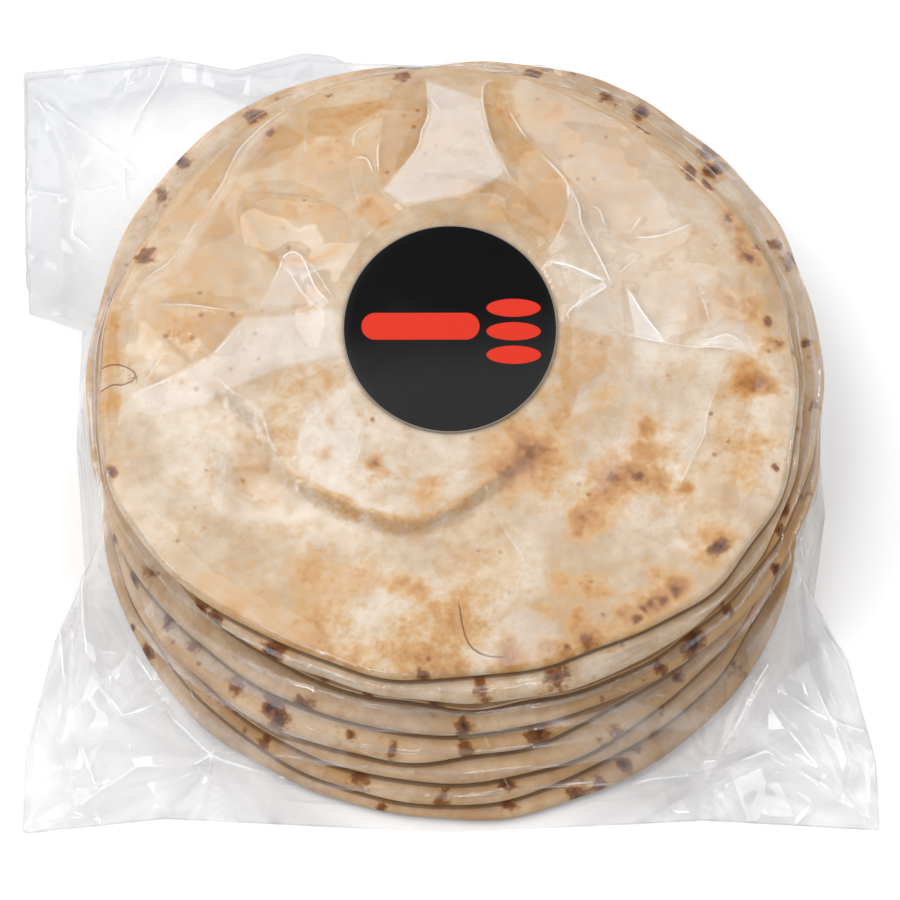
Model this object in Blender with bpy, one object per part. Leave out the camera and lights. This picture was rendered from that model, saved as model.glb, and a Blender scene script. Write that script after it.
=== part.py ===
"""Eight pita breads stacked flat in a clear plastic bag, with a round label on top.

The bag is one closed solid with the outer form of the film. It hugs the rim of each
bread, runs out to a low ear at both front corners, and ends in a flat tail at the
back left, which is the bag's mouth folded down. The label is a thin disc that lies on
the tilted patch in the middle of the top bread.

Sizes below are millimetres and degrees. X runs to the right, +Y to the back, +Z up.
The origin is the middle of the bag's footprint, on the surface it lies on.
"""

import math

import bmesh
import bpy
from mathutils import Vector

MM = 0.001

# Breads, from the bottom of the stack to the top:
# centre x, centre y, mean radius, (oval amount, its direction), (three-cornered
# amount, its direction)
BREADS = (
    (6.3, -16.2, 108.1, (4.4, -85), (2.7, -31)),
    (6.3, -14.1, 106.6, (2.3, 89), (0.8, 16)),
    (6.3, -12.1, 105.1, (1.8, 90), (1.1, 24)),
    (6.0, -10.1, 104.4, (2.0, 69), (2.5, -5)),
    (4.7, -3.0, 108.2, (3.7, -44), (2.5, -9)),
    (12.7, -0.6, 104.0, (1.7, 56), (0.7, -28)),
    (7.0, -5.9, 99.9, (1.2, -6), (0.9, -41)),
    (5.9, -4.9, 99.7, (2.0, 0), (2.0, -30)),
)
BREAD_PITCH = 7.2
CREASE_DEPTH = 2.4
FILM_GAP = 0.4
TAUTNESS = 0.55
SKIRT_REACH = 16.0

# Heights of the rings on one bread, as shares of its thickness. The bottom bread has
# more, because the ears and the tail leave the stack there.
RIM_SHARES = (0.0, 0.25, 0.7)
BOTTOM_SHARES = (0.0, 0.14, 0.34, 0.56, 0.8)

# The bag's outline on the surface it lies on, anticlockwise from the right.
RIGHT_SIDE = ((119, -5), (117, 38), (93, 86), (56, 113), (16, 127), (-42, 130))
TAIL_EDGE = ((-63, 124), (-87, 129), (-131, 123), (-125, 38), (-108, 37))
LEFT_SIDE = ((-108, -5), (-103, -50), (-111, -70))
LEFT_EAR = ((-118, -106), (-117.5, -130), (-76, -125.5))
FRONT_EDGE = ((6.4, -129.7), (80, -126))
RIGHT_EAR = ((131, -129), (131, -108), (124.5, -77), (115, -59), (120, -30))
FOOTPRINT = RIGHT_SIDE + TAIL_EDGE + LEFT_SIDE + LEFT_EAR + FRONT_EDGE + RIGHT_EAR
SHARP_CORNERS = (TAIL_EDGE[2], TAIL_EDGE[3], TAIL_EDGE[4], LEFT_EAR[1], RIGHT_EAR[0])

# The web of film that runs from the stack down to the outline.
WEB_BASE_HEIGHT = 4.0
WEB_RISE = 0.45
WEB_MAX_HEIGHT = 30.0
WEB_SAG = 0.7
TAIL_THICKNESS = 4.1
TAIL_WEB_HEIGHT = 22.0
TAIL_WEB_REACH = 5.0
TAIL_DIRECTION = 134.0
TAIL_HALF_ANGLE = 27.0
TAIL_FADE = 6.0

# The label and the patch of the top that it lies on.
LABEL_CENTRE = (6.4, 1.7, 63.6)
LABEL_RADIUS = 31.0
LABEL_THICKNESS = 0.5
LABEL_GAP = 0.3
LABEL_TILT = 11.0
LABEL_SIDES = 96
PATCH_RADIUS = 34.0
PATCH_FADE = 22.0

# Relief of the top bread.
TOP_LEVEL = 57.4
EDGE_DROP = 1.7
EDGE_WIDTH = 9.0
DOME = (6, 38, 46, 40, 12.5)
BLISTER = (-40, 40, 17, 11, 4.5)
BLISTER_TURN = -30.0
DIP = (-52, -42, 13, 13, -3.0)
BACK_VALLEY = (27, 72, 10, 24, -3.0)
RIGHT_SWELL = (66, 30, 26, 30, 3.5)
RIGHT_DIP = (80, -50, 16, 26, -2.0)
FRONT_SWELL = (15, -78, 34, 13, 2.5)
LEFT_SWELL = (-58, 4, 22, 18, 3.0)
LIP_LINE = (
    (-66, -9), (-55, -19), (-46, -27), (-41.5, -38), (-35, -45), (-25, -50),
    (-8, -56.5), (6, -53), (20, -41.5), (33, -28),
)
LIP_HEIGHT = 4.0
LIP_STEP = 5.0
LIP_FADE = 34.0

# How finely the solid is cut, and the turn between two faces that makes a sharp edge.
SHARP_ANGLE = 50.0
ANGLE_COUNT = 96
MIN_ANGLE_STEP = 1.2
TOP_SHARES = (0.985, 0.95, 0.88, 0.78, 0.67, 0.56, 0.45, 0.34, 0.22, 0.11, 0.0)
REACH_ROUNDS = 4
TINY = 1e-6

CENTRE = Vector((LABEL_CENTRE[0], LABEL_CENTRE[1]))


def smooth_step(value):
    value = min(1.0, max(0.0, value))
    return value * value * (3.0 - 2.0 * value)


def angle_gap(first, second):
    """Return the smaller angle in degrees between two directions."""
    return abs((first - second + 180.0) % 360.0 - 180.0)


def sample_angles():
    """Return the directions of the loft, with the outline's sharp corners among them."""
    corners = [
        math.degrees(math.atan2(y - CENTRE.y, x - CENTRE.x)) % 360.0
        for x, y in SHARP_CORNERS
    ]
    even = [360.0 * index / ANGLE_COUNT for index in range(ANGLE_COUNT)]
    kept = [
        angle for angle in even
        if all(angle_gap(angle, corner) > MIN_ANGLE_STEP for corner in corners)
    ]
    return sorted(kept + corners)


def footprint_radius(angle):
    """Return how far the bag's outline lies from the centre in one direction."""
    ray = Vector((math.cos(math.radians(angle)), math.sin(math.radians(angle))))
    reach = 0.0
    for index, start in enumerate(FOOTPRINT):
        a = Vector(start) - CENTRE
        edge = Vector(FOOTPRINT[(index + 1) % len(FOOTPRINT)]) - CENTRE - a
        turn = ray.cross(edge)
        if abs(turn) < TINY:
            continue
        distance = a.cross(edge) / turn
        share = a.cross(ray) / turn
        if -TINY <= share <= 1.0 + TINY:
            reach = max(reach, distance)
    return reach


def bread_radius(bread, angle):
    """Return how far a bread's rim lies from the loft's centre in one direction."""
    x, y, radius, oval, corner = bread
    ray = Vector((math.cos(math.radians(angle)), math.sin(math.radians(angle))))
    offset = CENTRE - Vector((x, y))
    reach = radius
    for _ in range(REACH_ROUNDS):
        point = offset + ray * reach
        turn = math.degrees(math.atan2(point.y, point.x))
        wanted = radius
        wanted += oval[0] * math.cos(math.radians(2 * (turn - oval[1])))
        wanted += corner[0] * math.cos(math.radians(3 * (turn - corner[1])))
        reach += wanted - point.length
    return reach


def stack_rings(reaches):
    """Return (height, radius) pairs up the side of the stack, dipping between breads."""
    rings = []
    for index, reach in enumerate(reaches):
        shares = BOTTOM_SHARES if index == 0 else RIM_SHARES
        for share in shares:
            radius = reach + FILM_GAP
            if share == 0.0:
                radius = min(reach, reaches[max(index - 1, 0)]) - CREASE_DEPTH
            rings.append((BREAD_PITCH * (index + share), radius))
    return rings


def tail_share(angle):
    """Return 1 where the tail leaves the stack, falling to 0 beside it."""
    beyond = angle_gap(angle, TAIL_DIRECTION) - TAIL_HALF_ANGLE
    return 1.0 - smooth_step(beyond / TAIL_FADE)


def taut_radius(height, knots):
    """Return the reach at a height of a film stretched over (height, radius) knots."""
    reach = 0.0
    for index, (low, low_radius) in enumerate(knots):
        for high, high_radius in knots[index + 1:]:
            if low <= height <= high:
                share = (height - low) / (high - low)
                reach = max(reach, low_radius + (high_radius - low_radius) * share)
    return reach


def web_radius(height, rise, outer, reaches):
    """Return the reach of the sloping web that joins the outline to the stack."""
    if height >= rise:
        return 0.0
    attached = reaches[int(rise / BREAD_PITCH)]
    return outer - (outer - attached) * (height / rise) ** WEB_SAG


def tail_radius(height, outer, reaches):
    """Return the reach of the flat tail and of the film that climbs from it."""
    if height < TAIL_THICKNESS:
        return outer
    if height >= TAIL_WEB_HEIGHT:
        return 0.0
    climb = (height - TAIL_THICKNESS) / (TAIL_WEB_HEIGHT - TAIL_THICKNESS)
    attached = reaches[int(TAIL_WEB_HEIGHT / BREAD_PITCH)]
    return attached + TAIL_WEB_REACH * (1.0 - climb) ** 2


def side_radii(angle):
    """Return (height, radius) pairs of the bag's side, from the floor to the top rim."""
    outer = footprint_radius(angle)
    reaches = [bread_radius(bread, angle) for bread in BREADS]
    excess = max(0.0, outer - reaches[0])
    rise = min(WEB_MAX_HEIGHT, WEB_BASE_HEIGHT + WEB_RISE * excess)
    knots = [(0.0, min(outer, reaches[0] + SKIRT_REACH))]
    for index, reach in enumerate(reaches):
        knots.append((BREAD_PITCH * (index + 0.5), reach + FILM_GAP))
    knots.append((BREAD_PITCH * len(reaches), reaches[-1]))
    edge_height = BREAD_PITCH * BOTTOM_SHARES[1] + TINY
    side = []
    for height, radius in stack_rings(reaches):
        taut = taut_radius(height, knots)
        radius += TAUTNESS * max(0.0, taut - radius)
        radius = max(radius, web_radius(height, rise, outer, reaches))
        tail = tail_share(angle)
        if tail > 0.0:
            radius += tail * max(0.0, tail_radius(height, outer, reaches) - radius)
        if height < edge_height:
            radius = outer
        side.append((height, radius))
    return side


def bump(x, y, form, turn=0.0):
    """Return the height of a rounded swelling or dip at a point."""
    centre_x, centre_y, half_x, half_y, height = form
    c = math.cos(math.radians(turn))
    s = math.sin(math.radians(turn))
    along = ((x - centre_x) * c + (y - centre_y) * s) / half_x
    across = ((y - centre_y) * c - (x - centre_x) * s) / half_y
    return height * math.exp(-(along * along + across * across))


def lip_height(x, y):
    """Return the height of the loose upper layer, which ends in a step at its lip."""
    point = Vector((x, y))
    nearest = math.inf
    inside = False
    for start, end in zip(LIP_LINE, LIP_LINE[1:]):
        a = Vector(start)
        edge = Vector(end) - a
        share = min(1.0, max(0.0, (point - a).dot(edge) / edge.dot(edge)))
        offset = point - (a + edge * share)
        if offset.length < nearest:
            nearest = offset.length
            inside = edge.cross(point - a) > 0.0
    if inside:
        return LIP_HEIGHT * (1.0 - smooth_step(nearest / LIP_FADE))
    return LIP_HEIGHT * (1.0 - smooth_step(nearest / LIP_STEP))


def top_height(x, y, edge_distance):
    """Return the height of the bag's top at a point, given its distance from the rim."""
    relief = TOP_LEVEL
    relief -= EDGE_DROP * (1.0 - smooth_step(edge_distance / EDGE_WIDTH))
    inward = smooth_step(edge_distance / (2.0 * EDGE_WIDTH))
    swells = bump(x, y, DOME) + bump(x, y, BLISTER, BLISTER_TURN) + lip_height(x, y)
    for form in (DIP, BACK_VALLEY, RIGHT_SWELL, RIGHT_DIP, FRONT_SWELL, LEFT_SWELL):
        swells += bump(x, y, form)
    relief += inward * swells
    plane = LABEL_CENTRE[2] + math.tan(math.radians(LABEL_TILT)) * (y - CENTRE.y)
    beyond = math.hypot(x - CENTRE.x, y - CENTRE.y) - PATCH_RADIUS
    return plane + (relief - plane) * smooth_step(beyond / PATCH_FADE)


def bag_columns():
    """Return the bag's surface as one column of points for each direction."""
    columns = []
    for angle in sample_angles():
        ray = Vector((math.cos(math.radians(angle)), math.sin(math.radians(angle))))
        column = []
        for height, radius in side_radii(angle):
            point = CENTRE + ray * radius
            column.append(Vector((point.x, point.y, height)))
        rim = bread_radius(BREADS[-1], angle) + FILM_GAP
        for share in TOP_SHARES:
            radius = PATCH_RADIUS + (rim - PATCH_RADIUS) * share
            point = CENTRE + ray * radius
            height = top_height(point.x, point.y, rim - radius)
            column.append(Vector((point.x, point.y, height)))
        columns.append(column)
    return columns


def make_bag():
    """Loft the bag through its rings, and close it with a flat fan below and on top."""
    mesh = bmesh.new()
    columns = [[mesh.verts.new(p * MM) for p in column] for column in bag_columns()]
    bottom = mesh.verts.new(Vector((CENTRE.x, CENTRE.y, 0.0)) * MM)
    top = mesh.verts.new(Vector(LABEL_CENTRE) * MM)
    for index, column in enumerate(columns):
        following = columns[(index + 1) % len(columns)]
        mesh.faces.new((bottom, following[0], column[0]))
        mesh.faces.new((top, column[-1], following[-1]))
        for level in range(len(column) - 1):
            mesh.faces.new(
                (column[level], following[level], following[level + 1], column[level + 1])
            )
    bmesh.ops.recalc_face_normals(mesh, faces=mesh.faces)
    bmesh.ops.triangulate(mesh, faces=mesh.faces)
    data = bpy.data.meshes.new("bag")
    mesh.to_mesh(data)
    mesh.free()
    data.shade_smooth()
    data.set_sharp_from_angle(angle=math.radians(SHARP_ANGLE))
    return bpy.data.objects.new("bag", data)


def make_label():
    """Lay a thin disc on the patch, tilted with it and just clear of it."""
    mesh = bmesh.new()
    bmesh.ops.create_cone(
        mesh,
        cap_ends=True,
        segments=LABEL_SIDES,
        radius1=LABEL_RADIUS * MM,
        radius2=LABEL_RADIUS * MM,
        depth=LABEL_THICKNESS * MM,
    )
    data = bpy.data.meshes.new("label")
    mesh.to_mesh(data)
    mesh.free()
    data.shade_smooth()
    data.set_sharp_from_angle(angle=math.radians(SHARP_ANGLE))
    label = bpy.data.objects.new("label", data)
    tilt = math.radians(LABEL_TILT)
    lift = LABEL_GAP + LABEL_THICKNESS / 2.0
    normal = Vector((0.0, -math.sin(tilt), math.cos(tilt)))
    label.location = (Vector(LABEL_CENTRE) + normal * lift) * MM
    label.rotation_euler = (tilt, 0.0, 0.0)
    return label


def make_material(name, colour, roughness, metallic=0.0):
    material = bpy.data.materials.new(name)
    material.use_nodes = True
    shader = material.node_tree.nodes["Principled BSDF"]
    shader.inputs["Base Color"].default_value = (*colour, 1.0)
    shader.inputs["Roughness"].default_value = roughness
    shader.inputs["Metallic"].default_value = metallic
    return material


def main():
    for existing in list(bpy.data.objects):
        bpy.data.objects.remove(existing)
    pack = bpy.data.collections.new("bagged_pita_breads")
    bpy.context.scene.collection.children.link(pack)
    bag = make_bag()
    bag.data.materials.append(make_material("bread_in_film", (0.72, 0.55, 0.38), 0.35))
    pack.objects.link(bag)
    label = make_label()
    label.data.materials.append(make_material("label_black", (0.03, 0.03, 0.03), 0.25))
    pack.objects.link(label)


main()
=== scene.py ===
import itertools
import math

import bpy
import numpy as np
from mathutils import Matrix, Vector


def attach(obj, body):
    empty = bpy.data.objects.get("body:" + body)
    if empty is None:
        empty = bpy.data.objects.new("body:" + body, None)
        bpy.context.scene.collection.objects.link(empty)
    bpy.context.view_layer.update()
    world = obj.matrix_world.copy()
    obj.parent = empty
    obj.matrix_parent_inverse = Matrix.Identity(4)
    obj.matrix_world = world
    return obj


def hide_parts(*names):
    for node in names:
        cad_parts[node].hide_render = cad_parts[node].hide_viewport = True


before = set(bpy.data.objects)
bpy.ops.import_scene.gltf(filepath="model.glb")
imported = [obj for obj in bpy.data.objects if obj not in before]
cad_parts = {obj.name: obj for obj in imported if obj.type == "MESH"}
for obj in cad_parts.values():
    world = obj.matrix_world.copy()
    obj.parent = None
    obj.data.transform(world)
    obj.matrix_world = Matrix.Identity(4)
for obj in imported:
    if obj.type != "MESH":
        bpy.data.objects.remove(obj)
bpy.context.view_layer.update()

# Eight pita breads stacked in a clear bag with a round label on top.
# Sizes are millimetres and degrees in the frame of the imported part, +X right, +Y back,
# +Z up, with the origin under the middle of the bag.
MM = 0.001

# Camera: the photograph looks down from the front.
CAMERA_ELEVATION = 66.0
CAMERA_DISTANCE = 900.0
CAMERA_TARGET = (6.4, -21.6, 30.0)
CAMERA_LENS = 122.0
SENSOR_WIDTH = 36.0

# Breads from the bottom up: centre x, centre y, mean radius, (oval amount, direction),
# (three-cornered amount, direction).
BREADS = (
    (6.3, -16.2, 108.1, (4.4, -85), (2.7, -31)),
    (6.3, -14.1, 106.6, (2.3, 89), (0.8, 16)),
    (6.3, -12.1, 105.1, (1.8, 90), (1.1, 24)),
    (6.0, -10.1, 104.4, (2.0, 69), (2.5, -5)),
    (4.7, -3.0, 108.2, (3.7, -44), (2.5, -9)),
    (12.7, -0.6, 104.0, (1.7, 56), (0.7, -28)),
    (8.0, -7.0, 100.9, (1.2, -6), (0.9, -41)),
    (5.9, -4.9, 99.7, (2.0, 0), (2.0, -30)),
)
PITCH = 7.2
TOP_INDEX = len(BREADS) - 1
RIM_ROUND = 2.0
RIM_THINNING = 0.12
RIM_SLOPE = 8.0
BREAD_GAP = 0.12
FLOOR_GAP = 0.3

# The label and the tilted patch of the top that it lies on.
LABEL_CENTRE = (6.4, 1.7, 63.6)
LABEL_RADIUS = 31.0
LABEL_TILT = 11.0
LABEL_LIFT = 0.3
PATCH_RADIUS = 34.0
PATCH_FADE = 16.0

# Relief of the top bread.
TOP_LEVEL = 56.8
EDGE_DROP = 1.5
EDGE_WIDTH = 9.0
DOME = (6, 38, 46, 40, 12.5)
SWELLS = (
    (-50, -41, 8.5, 8.5, -6.6),
    (27, 72, 10, 24, -3.0),
    (66, 30, 26, 30, 3.5),
    (80, -50, 16, 26, -2.0),
    (15, -78, 34, 13, 2.5),
    (-58, 4, 22, 18, 4.2),
)
BLISTER = (-40, 36.5, 19, 10.5)
BLISTER_TAPER = 0.5
BLISTER_TURN = -36.0
BLISTER_HEIGHT = 3.6
BLISTER_LINE = ((-56, 46), (-52, 36), (-47, 28), (-41, 24), (-30, 24), (-24, 31), (-26, 38))
BLISTER_LINE_WIDTH = 1.3
LIP_LINE = (
    (-66, -9), (-55, -19), (-46, -27), (-41.5, -38), (-35, -45), (-25, -50),
    (-8, -56.5), (6, -53), (20, -41.5), (33, -28),
)
LIP_HEIGHT = 4.9
LIP_STEP = 4.2
# Width of the painted shadow under the lip.
LIP_SHADOW_WIDTH = 4.2
LIP_FADE = 34.0

# The bag's outline on the surface it lies on, anticlockwise from the right.
FOOTPRINT = (
    (119, -5), (117, 38), (93, 86), (56, 113), (16, 127), (-42, 130),
    (-63, 124), (-87, 129), (-131, 123), (-125, 38), (-108, 37),
    (-108, -5), (-103, -50), (-111, -70), (-118, -106), (-117.5, -130), (-76, -125.5),
    (6.4, -129.7), (80, -126),
    (131, -129), (131, -108), (124.5, -77), (115, -59), (120, -30),
)
FILM_GAP = 0.25
SKIRT_REACH = 16.0
WEB_BASE_HEIGHT = 4.0
WEB_RISE = 0.45
WEB_MAX_HEIGHT = 30.0
WEB_SAG = 0.7
TAIL_THICKNESS = 3.6
TAIL_WEB_HEIGHT = 22.0
TAIL_WEB_REACH = 5.0
TAIL_DIRECTION = 134.0
TAIL_HALF_ANGLE = 27.0
TAIL_FADE = 6.0

# How finely the surfaces are cut.
BREAD_ANGLES = 600
TOP_RINGS = 122
FILM_ANGLES = 720
FILM_SIDE_RINGS = 110
FILM_TOP_RINGS = 140
FILM_FLOOR_RINGS = 8

CENTRE = np.array(LABEL_CENTRE[:2])
TURN = 2 * math.pi

# Distances kept on a surface end at FARTHEST, and FAR is beyond any of them.
FARTHEST = 9.0
FAR = 1e9

# Random tables: cells along each side, and a start that keeps the places positive.
NOISE_CELLS = 32
NOISE_START = 97.0
CLOUD_SPAN = 1.6
NET_CELLS = 64
NET_START = 640.0
NET_DRIFT = 0.3


def smooth_step(value):
    value = np.clip(value, 0.0, 1.0)
    return value * value * (3.0 - 2.0 * value)


def taper(along, start, end):
    """Return 1 along a line, fading to 0 over a share of it at each end."""
    return smooth_step(along / start) * smooth_step((1.0 - along) / end)


def lattice_noise(x, y, z, scale, seed):
    """Return smooth noise between -1 and 1 with features of one scale in millimetres."""
    table = np.random.default_rng(seed).uniform(-1.0, 1.0, (NOISE_CELLS,) * 3)
    axes = np.broadcast_arrays(x, y, z)
    place = [np.asarray(axis, float) / scale + NOISE_START for axis in axes]
    cell = [np.floor(axis).astype(int) for axis in place]
    share = [smooth_step(axis - base) for axis, base in zip(place, cell)]
    total = np.zeros(place[0].shape)
    for corner in itertools.product((0, 1), repeat=3):
        weight = 1.0
        for axis, step in enumerate(corner):
            weight = weight * (share[axis] if step else 1.0 - share[axis])
        index = [(base + step) % NOISE_CELLS for base, step in zip(cell, corner)]
        total += weight * table[index[0], index[1], index[2]]
    return total


def cloud_noise(x, y, z, scale, seed, octaves=3):
    """Return noise with finer, weaker layers added."""
    total = 0.0
    for octave in range(octaves):
        total = total + lattice_noise(x, y, z, scale / 2 ** octave, seed + octave) / 2 ** octave
    return total / CLOUD_SPAN


def crumple(x, y, cell, seed):
    """Return the height, -1 to 1, of a net of flat triangles, and a tone for each facet."""
    random = np.random.default_rng(seed)
    table = random.uniform(-1.0, 1.0, (NET_CELLS, NET_CELLS, 3))
    table = table * np.array([NET_DRIFT, NET_DRIFT, 1.0])
    tones = random.uniform(0.0, 1.0, (NET_CELLS, NET_CELLS, 2))
    place_x, place_y = x / cell + NET_START, y / cell + NET_START
    base_x, base_y = np.floor(place_x).astype(int), np.floor(place_y).astype(int)
    value, tone = np.zeros(np.shape(x)), np.zeros(np.shape(x))
    for step_x, step_y in itertools.product((-1, 0, 1), repeat=2):
        node_x, node_y = base_x + step_x, base_y + step_y
        corners = {}
        for along, across in itertools.product((0, 1), repeat=2):
            drift = table[(node_x + along) % NET_CELLS, (node_y + across) % NET_CELLS]
            corner_x = node_x + along + drift[..., 0] - place_x
            corner_y = node_y + across + drift[..., 1] - place_y
            corners[along, across] = (corner_x, corner_y, drift[..., 2])
        for half, names in enumerate((((0, 0), (1, 0), (1, 1)), ((0, 0), (1, 1), (0, 1)))):
            (ax, ay, ah), (bx, by, bh), (cx, cy, ch) = [corners[name] for name in names]
            first, second, third = bx * cy - by * cx, cx * ay - cy * ax, ax * by - ay * bx
            total = first + second + third
            total = np.where(np.abs(total) < 1e-9, 1e-9, total)
            share = np.stack([first, second, third]) / total
            inside = share.min(axis=0) >= 0.0
            value = np.where(inside, share[0] * ah + share[1] * bh + share[2] * ch, value)
            own_tone = tones[node_x % NET_CELLS, node_y % NET_CELLS, half]
            tone = np.where(inside, own_tone, tone)
    return value, tone


def bump(x, y, form):
    """Return the height of a rounded swelling or dip."""
    centre_x, centre_y, half_x, half_y, height = form
    along, across = (x - centre_x) / half_x, (y - centre_y) / half_y
    return height * np.exp(-(along * along + across * across))


def edge_place(x, y, start, end):
    """Return each point's distance to an edge, its share along it, and its side."""
    edge_x, edge_y = end[0] - start[0], end[1] - start[1]
    from_x, from_y = x - start[0], y - start[1]
    share = (from_x * edge_x + from_y * edge_y) / (edge_x ** 2 + edge_y ** 2)
    share = np.clip(share, 0.0, 1.0)
    distance = np.hypot(from_x - share * edge_x, from_y - share * edge_y)
    return distance, share, edge_x * from_y - edge_y * from_x


def line_distance(x, y, line):
    """Return each point's distance to a line, its share along it, and if it is on the left."""
    nearest = np.full(np.shape(x), FAR)
    along = np.zeros(np.shape(x))
    left = np.zeros(np.shape(x), bool)
    pieces = len(line) - 1
    for index, (start, end) in enumerate(zip(line, line[1:])):
        distance, share, side = edge_place(x, y, start, end)
        closer = distance < nearest
        nearest = np.where(closer, distance, nearest)
        along = np.where(closer, (index + share) / pieces, along)
        left = np.where(closer, side > 0.0, left)
    return nearest, along, left


def smooth_line(line, pieces=4):
    """Return a line rounded through its points."""
    points = np.array([line[0], *line, line[-1]], float)
    curve = []
    for before, start, end, after in zip(points, points[1:], points[2:], points[3:]):
        for t in np.linspace(0.0, 1.0, pieces, endpoint=False):
            bend = (2 * before - 5 * start + 4 * end - after) * t ** 2
            turn = (3 * start - before - 3 * end + after) * t ** 3
            curve.append(tuple(start + 0.5 * ((end - before) * t + bend + turn)))
    curve.append(line[-1])
    return tuple(curve)


RIM_WOBBLE = 0.34
WOBBLE_ORDERS = (5, 26)
RAY_ROUNDS = 5


def rim_radius(index, turn):
    """Return a bread's outline about its own centre, in directions given in radians."""
    _, _, radius, oval, corner = BREADS[index]
    reach = radius + oval[0] * np.cos(2 * (turn - math.radians(oval[1])))
    reach = reach + corner[0] * np.cos(3 * (turn - math.radians(corner[1])))
    random = np.random.default_rng(40 + index)
    for order in range(*WOBBLE_ORDERS):
        amount = RIM_WOBBLE * random.normal() / (order / WOBBLE_ORDERS[0])
        reach = reach + amount * np.cos(order * turn + random.uniform(0, TURN))
    return reach


def rim_reach(index, angles):
    """Return how far a bread's rim lies from the label's centre, in directions in radians."""
    x, y = BREADS[index][:2]
    ray_x, ray_y = np.cos(angles), np.sin(angles)
    reach = np.full(angles.shape, BREADS[index][2])
    for _ in range(RAY_ROUNDS):
        point_x = CENTRE[0] - x + ray_x * reach
        point_y = CENTRE[1] - y + ray_y * reach
        wanted = rim_radius(index, np.arctan2(point_y, point_x))
        reach = reach + wanted - np.hypot(point_x, point_y)
    return reach


def edge_distance(index, x, y):
    """Return how far inside a bread's rim each point lies."""
    from_x, from_y = x - BREADS[index][0], y - BREADS[index][1]
    return rim_radius(index, np.arctan2(from_y, from_x)) - np.hypot(from_x, from_y)


LIP_TAPER = 0.12
LIP_END = 0.3
LIP_BACK_SHARE = 0.25
PATCH_SINK = 0.15

# Relief of a bread's faces: height, size, seed and, for the top, the layers of noise.
TOP_WAVES = (0.8, 30.0, 11, 2)
TOP_GRAIN = (0.28, 7.0, 15, 3)
GRAIN_EDGE = 4.0
FACE_WAVES = ((0.8, 48.0, 60), (0.3, 19.0, 80))


def lip_height(x, y):
    """Return the height of the loose upper layer, which ends in a step at its lip."""
    distance, along, left = line_distance(x, y, smooth_line(LIP_LINE))
    inner = 1.0 - smooth_step(distance / LIP_FADE)
    outer = 1.0 - smooth_step(distance / LIP_STEP)
    height = LIP_HEIGHT * (LIP_END + (1.0 - LIP_END) * taper(along, LIP_TAPER, LIP_TAPER))
    return height * np.where(left, inner, outer)


def lip_painted_shadow(x, y):
    """Return how strongly the painted shadow under the lip marks each point."""
    distance, along, left = line_distance(x, y, smooth_line(LIP_LINE))
    ends = smooth_step((along - 0.2) / 0.4) * smooth_step((1.0 - along) / 0.1)
    width = np.where(left, LIP_BACK_SHARE * LIP_SHADOW_WIDTH, LIP_SHADOW_WIDTH)
    return ends * np.exp(-(distance / width) ** 2)


def blister_edge(x, y):
    """Return how strongly a darker line along the blister's edge marks each point."""
    distance, along, _ = line_distance(x, y, smooth_line(BLISTER_LINE))
    return taper(along, 0.2, 0.3) * np.exp(-(distance / BLISTER_LINE_WIDTH) ** 2)


def blister_height(x, y):
    """Return the height of the blister, which is wider at one end."""
    centre_x, centre_y, half_x, half_y = BLISTER
    c, s = math.cos(math.radians(BLISTER_TURN)), math.sin(math.radians(BLISTER_TURN))
    along = ((x - centre_x) * c + (y - centre_y) * s) / half_x
    wide = half_y * np.clip(1.0 + BLISTER_TAPER * along, 0.3, 1.3)
    across = ((y - centre_y) * c - (x - centre_x) * s) / wide
    inside = np.clip(1.0 - along ** 2 - across ** 2, 0.0, 1.0)
    return BLISTER_HEIGHT * inside ** 0.5


def relief_noise(x, y, layer):
    height, scale, seed, octaves = layer
    return height * cloud_noise(x, y, 0.0, scale, seed, octaves)


def label_plane(y):
    """Return the height of the tilted plane that the label lies on."""
    return LABEL_CENTRE[2] + math.tan(math.radians(LABEL_TILT)) * (y - CENTRE[1])


def top_surface(x, y):
    """Return the height of the top bread's upper face."""
    distance = edge_distance(TOP_INDEX, x, y)
    relief = TOP_LEVEL - EDGE_DROP * (1.0 - smooth_step(distance / EDGE_WIDTH))
    swells = bump(x, y, DOME) + lip_height(x, y)
    for form in SWELLS:
        swells = swells + bump(x, y, form)
    swells = swells + blister_height(x, y) + relief_noise(x, y, TOP_WAVES)
    relief = relief + smooth_step(distance / (2.0 * EDGE_WIDTH)) * swells
    relief = relief + relief_noise(x, y, TOP_GRAIN) * smooth_step(distance / GRAIN_EDGE)
    plane = label_plane(y) - FILM_GAP - PATCH_SINK
    beyond = np.hypot(x - CENTRE[0], y - CENTRE[1]) - PATCH_RADIUS
    return plane + (relief - plane) * smooth_step(beyond / PATCH_FADE)


def interface(level, x, y):
    """Return the height of the face between two breads; level 0 is the underside."""
    if level == 0:
        return np.full(np.shape(x), FLOOR_GAP)
    wave = 0.0
    for height, scale, seed in FACE_WAVES:
        wave = wave + height * lattice_noise(x, y, 0.0, scale, seed + level)
    return PITCH * level + wave


def bread_faces(index, x, y):
    """Return the lower and the upper face of a bread, before its rim is rounded."""
    low = interface(index, x, y) + BREAD_GAP
    if index == TOP_INDEX:
        return low, top_surface(x, y)
    return low, interface(index + 1, x, y) - BREAD_GAP


def polygon_depth(x, y, corners):
    """Return how far inside an outline each point lies; points outside are negative."""
    inside = np.zeros(np.shape(x), bool)
    nearest = np.full(np.shape(x), FAR)
    for start, end in zip(corners, corners[1:] + corners[:1]):
        distance, _, side = edge_place(x, y, start, end)
        nearest = np.minimum(nearest, distance)
        crossing = (start[1] > y) != (end[1] > y)
        inside ^= crossing & ((side > 0.0) == (end[1] > start[1]))
    return np.where(inside, nearest, -nearest)


def deepest(x, y, outlines):
    """Return the depth inside the deepest of several outlines, down to -FARTHEST."""
    depth = np.full(np.shape(x), -FARTHEST)
    for corners in outlines:
        depth = np.maximum(depth, polygon_depth(x, y, corners))
    return depth


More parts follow.
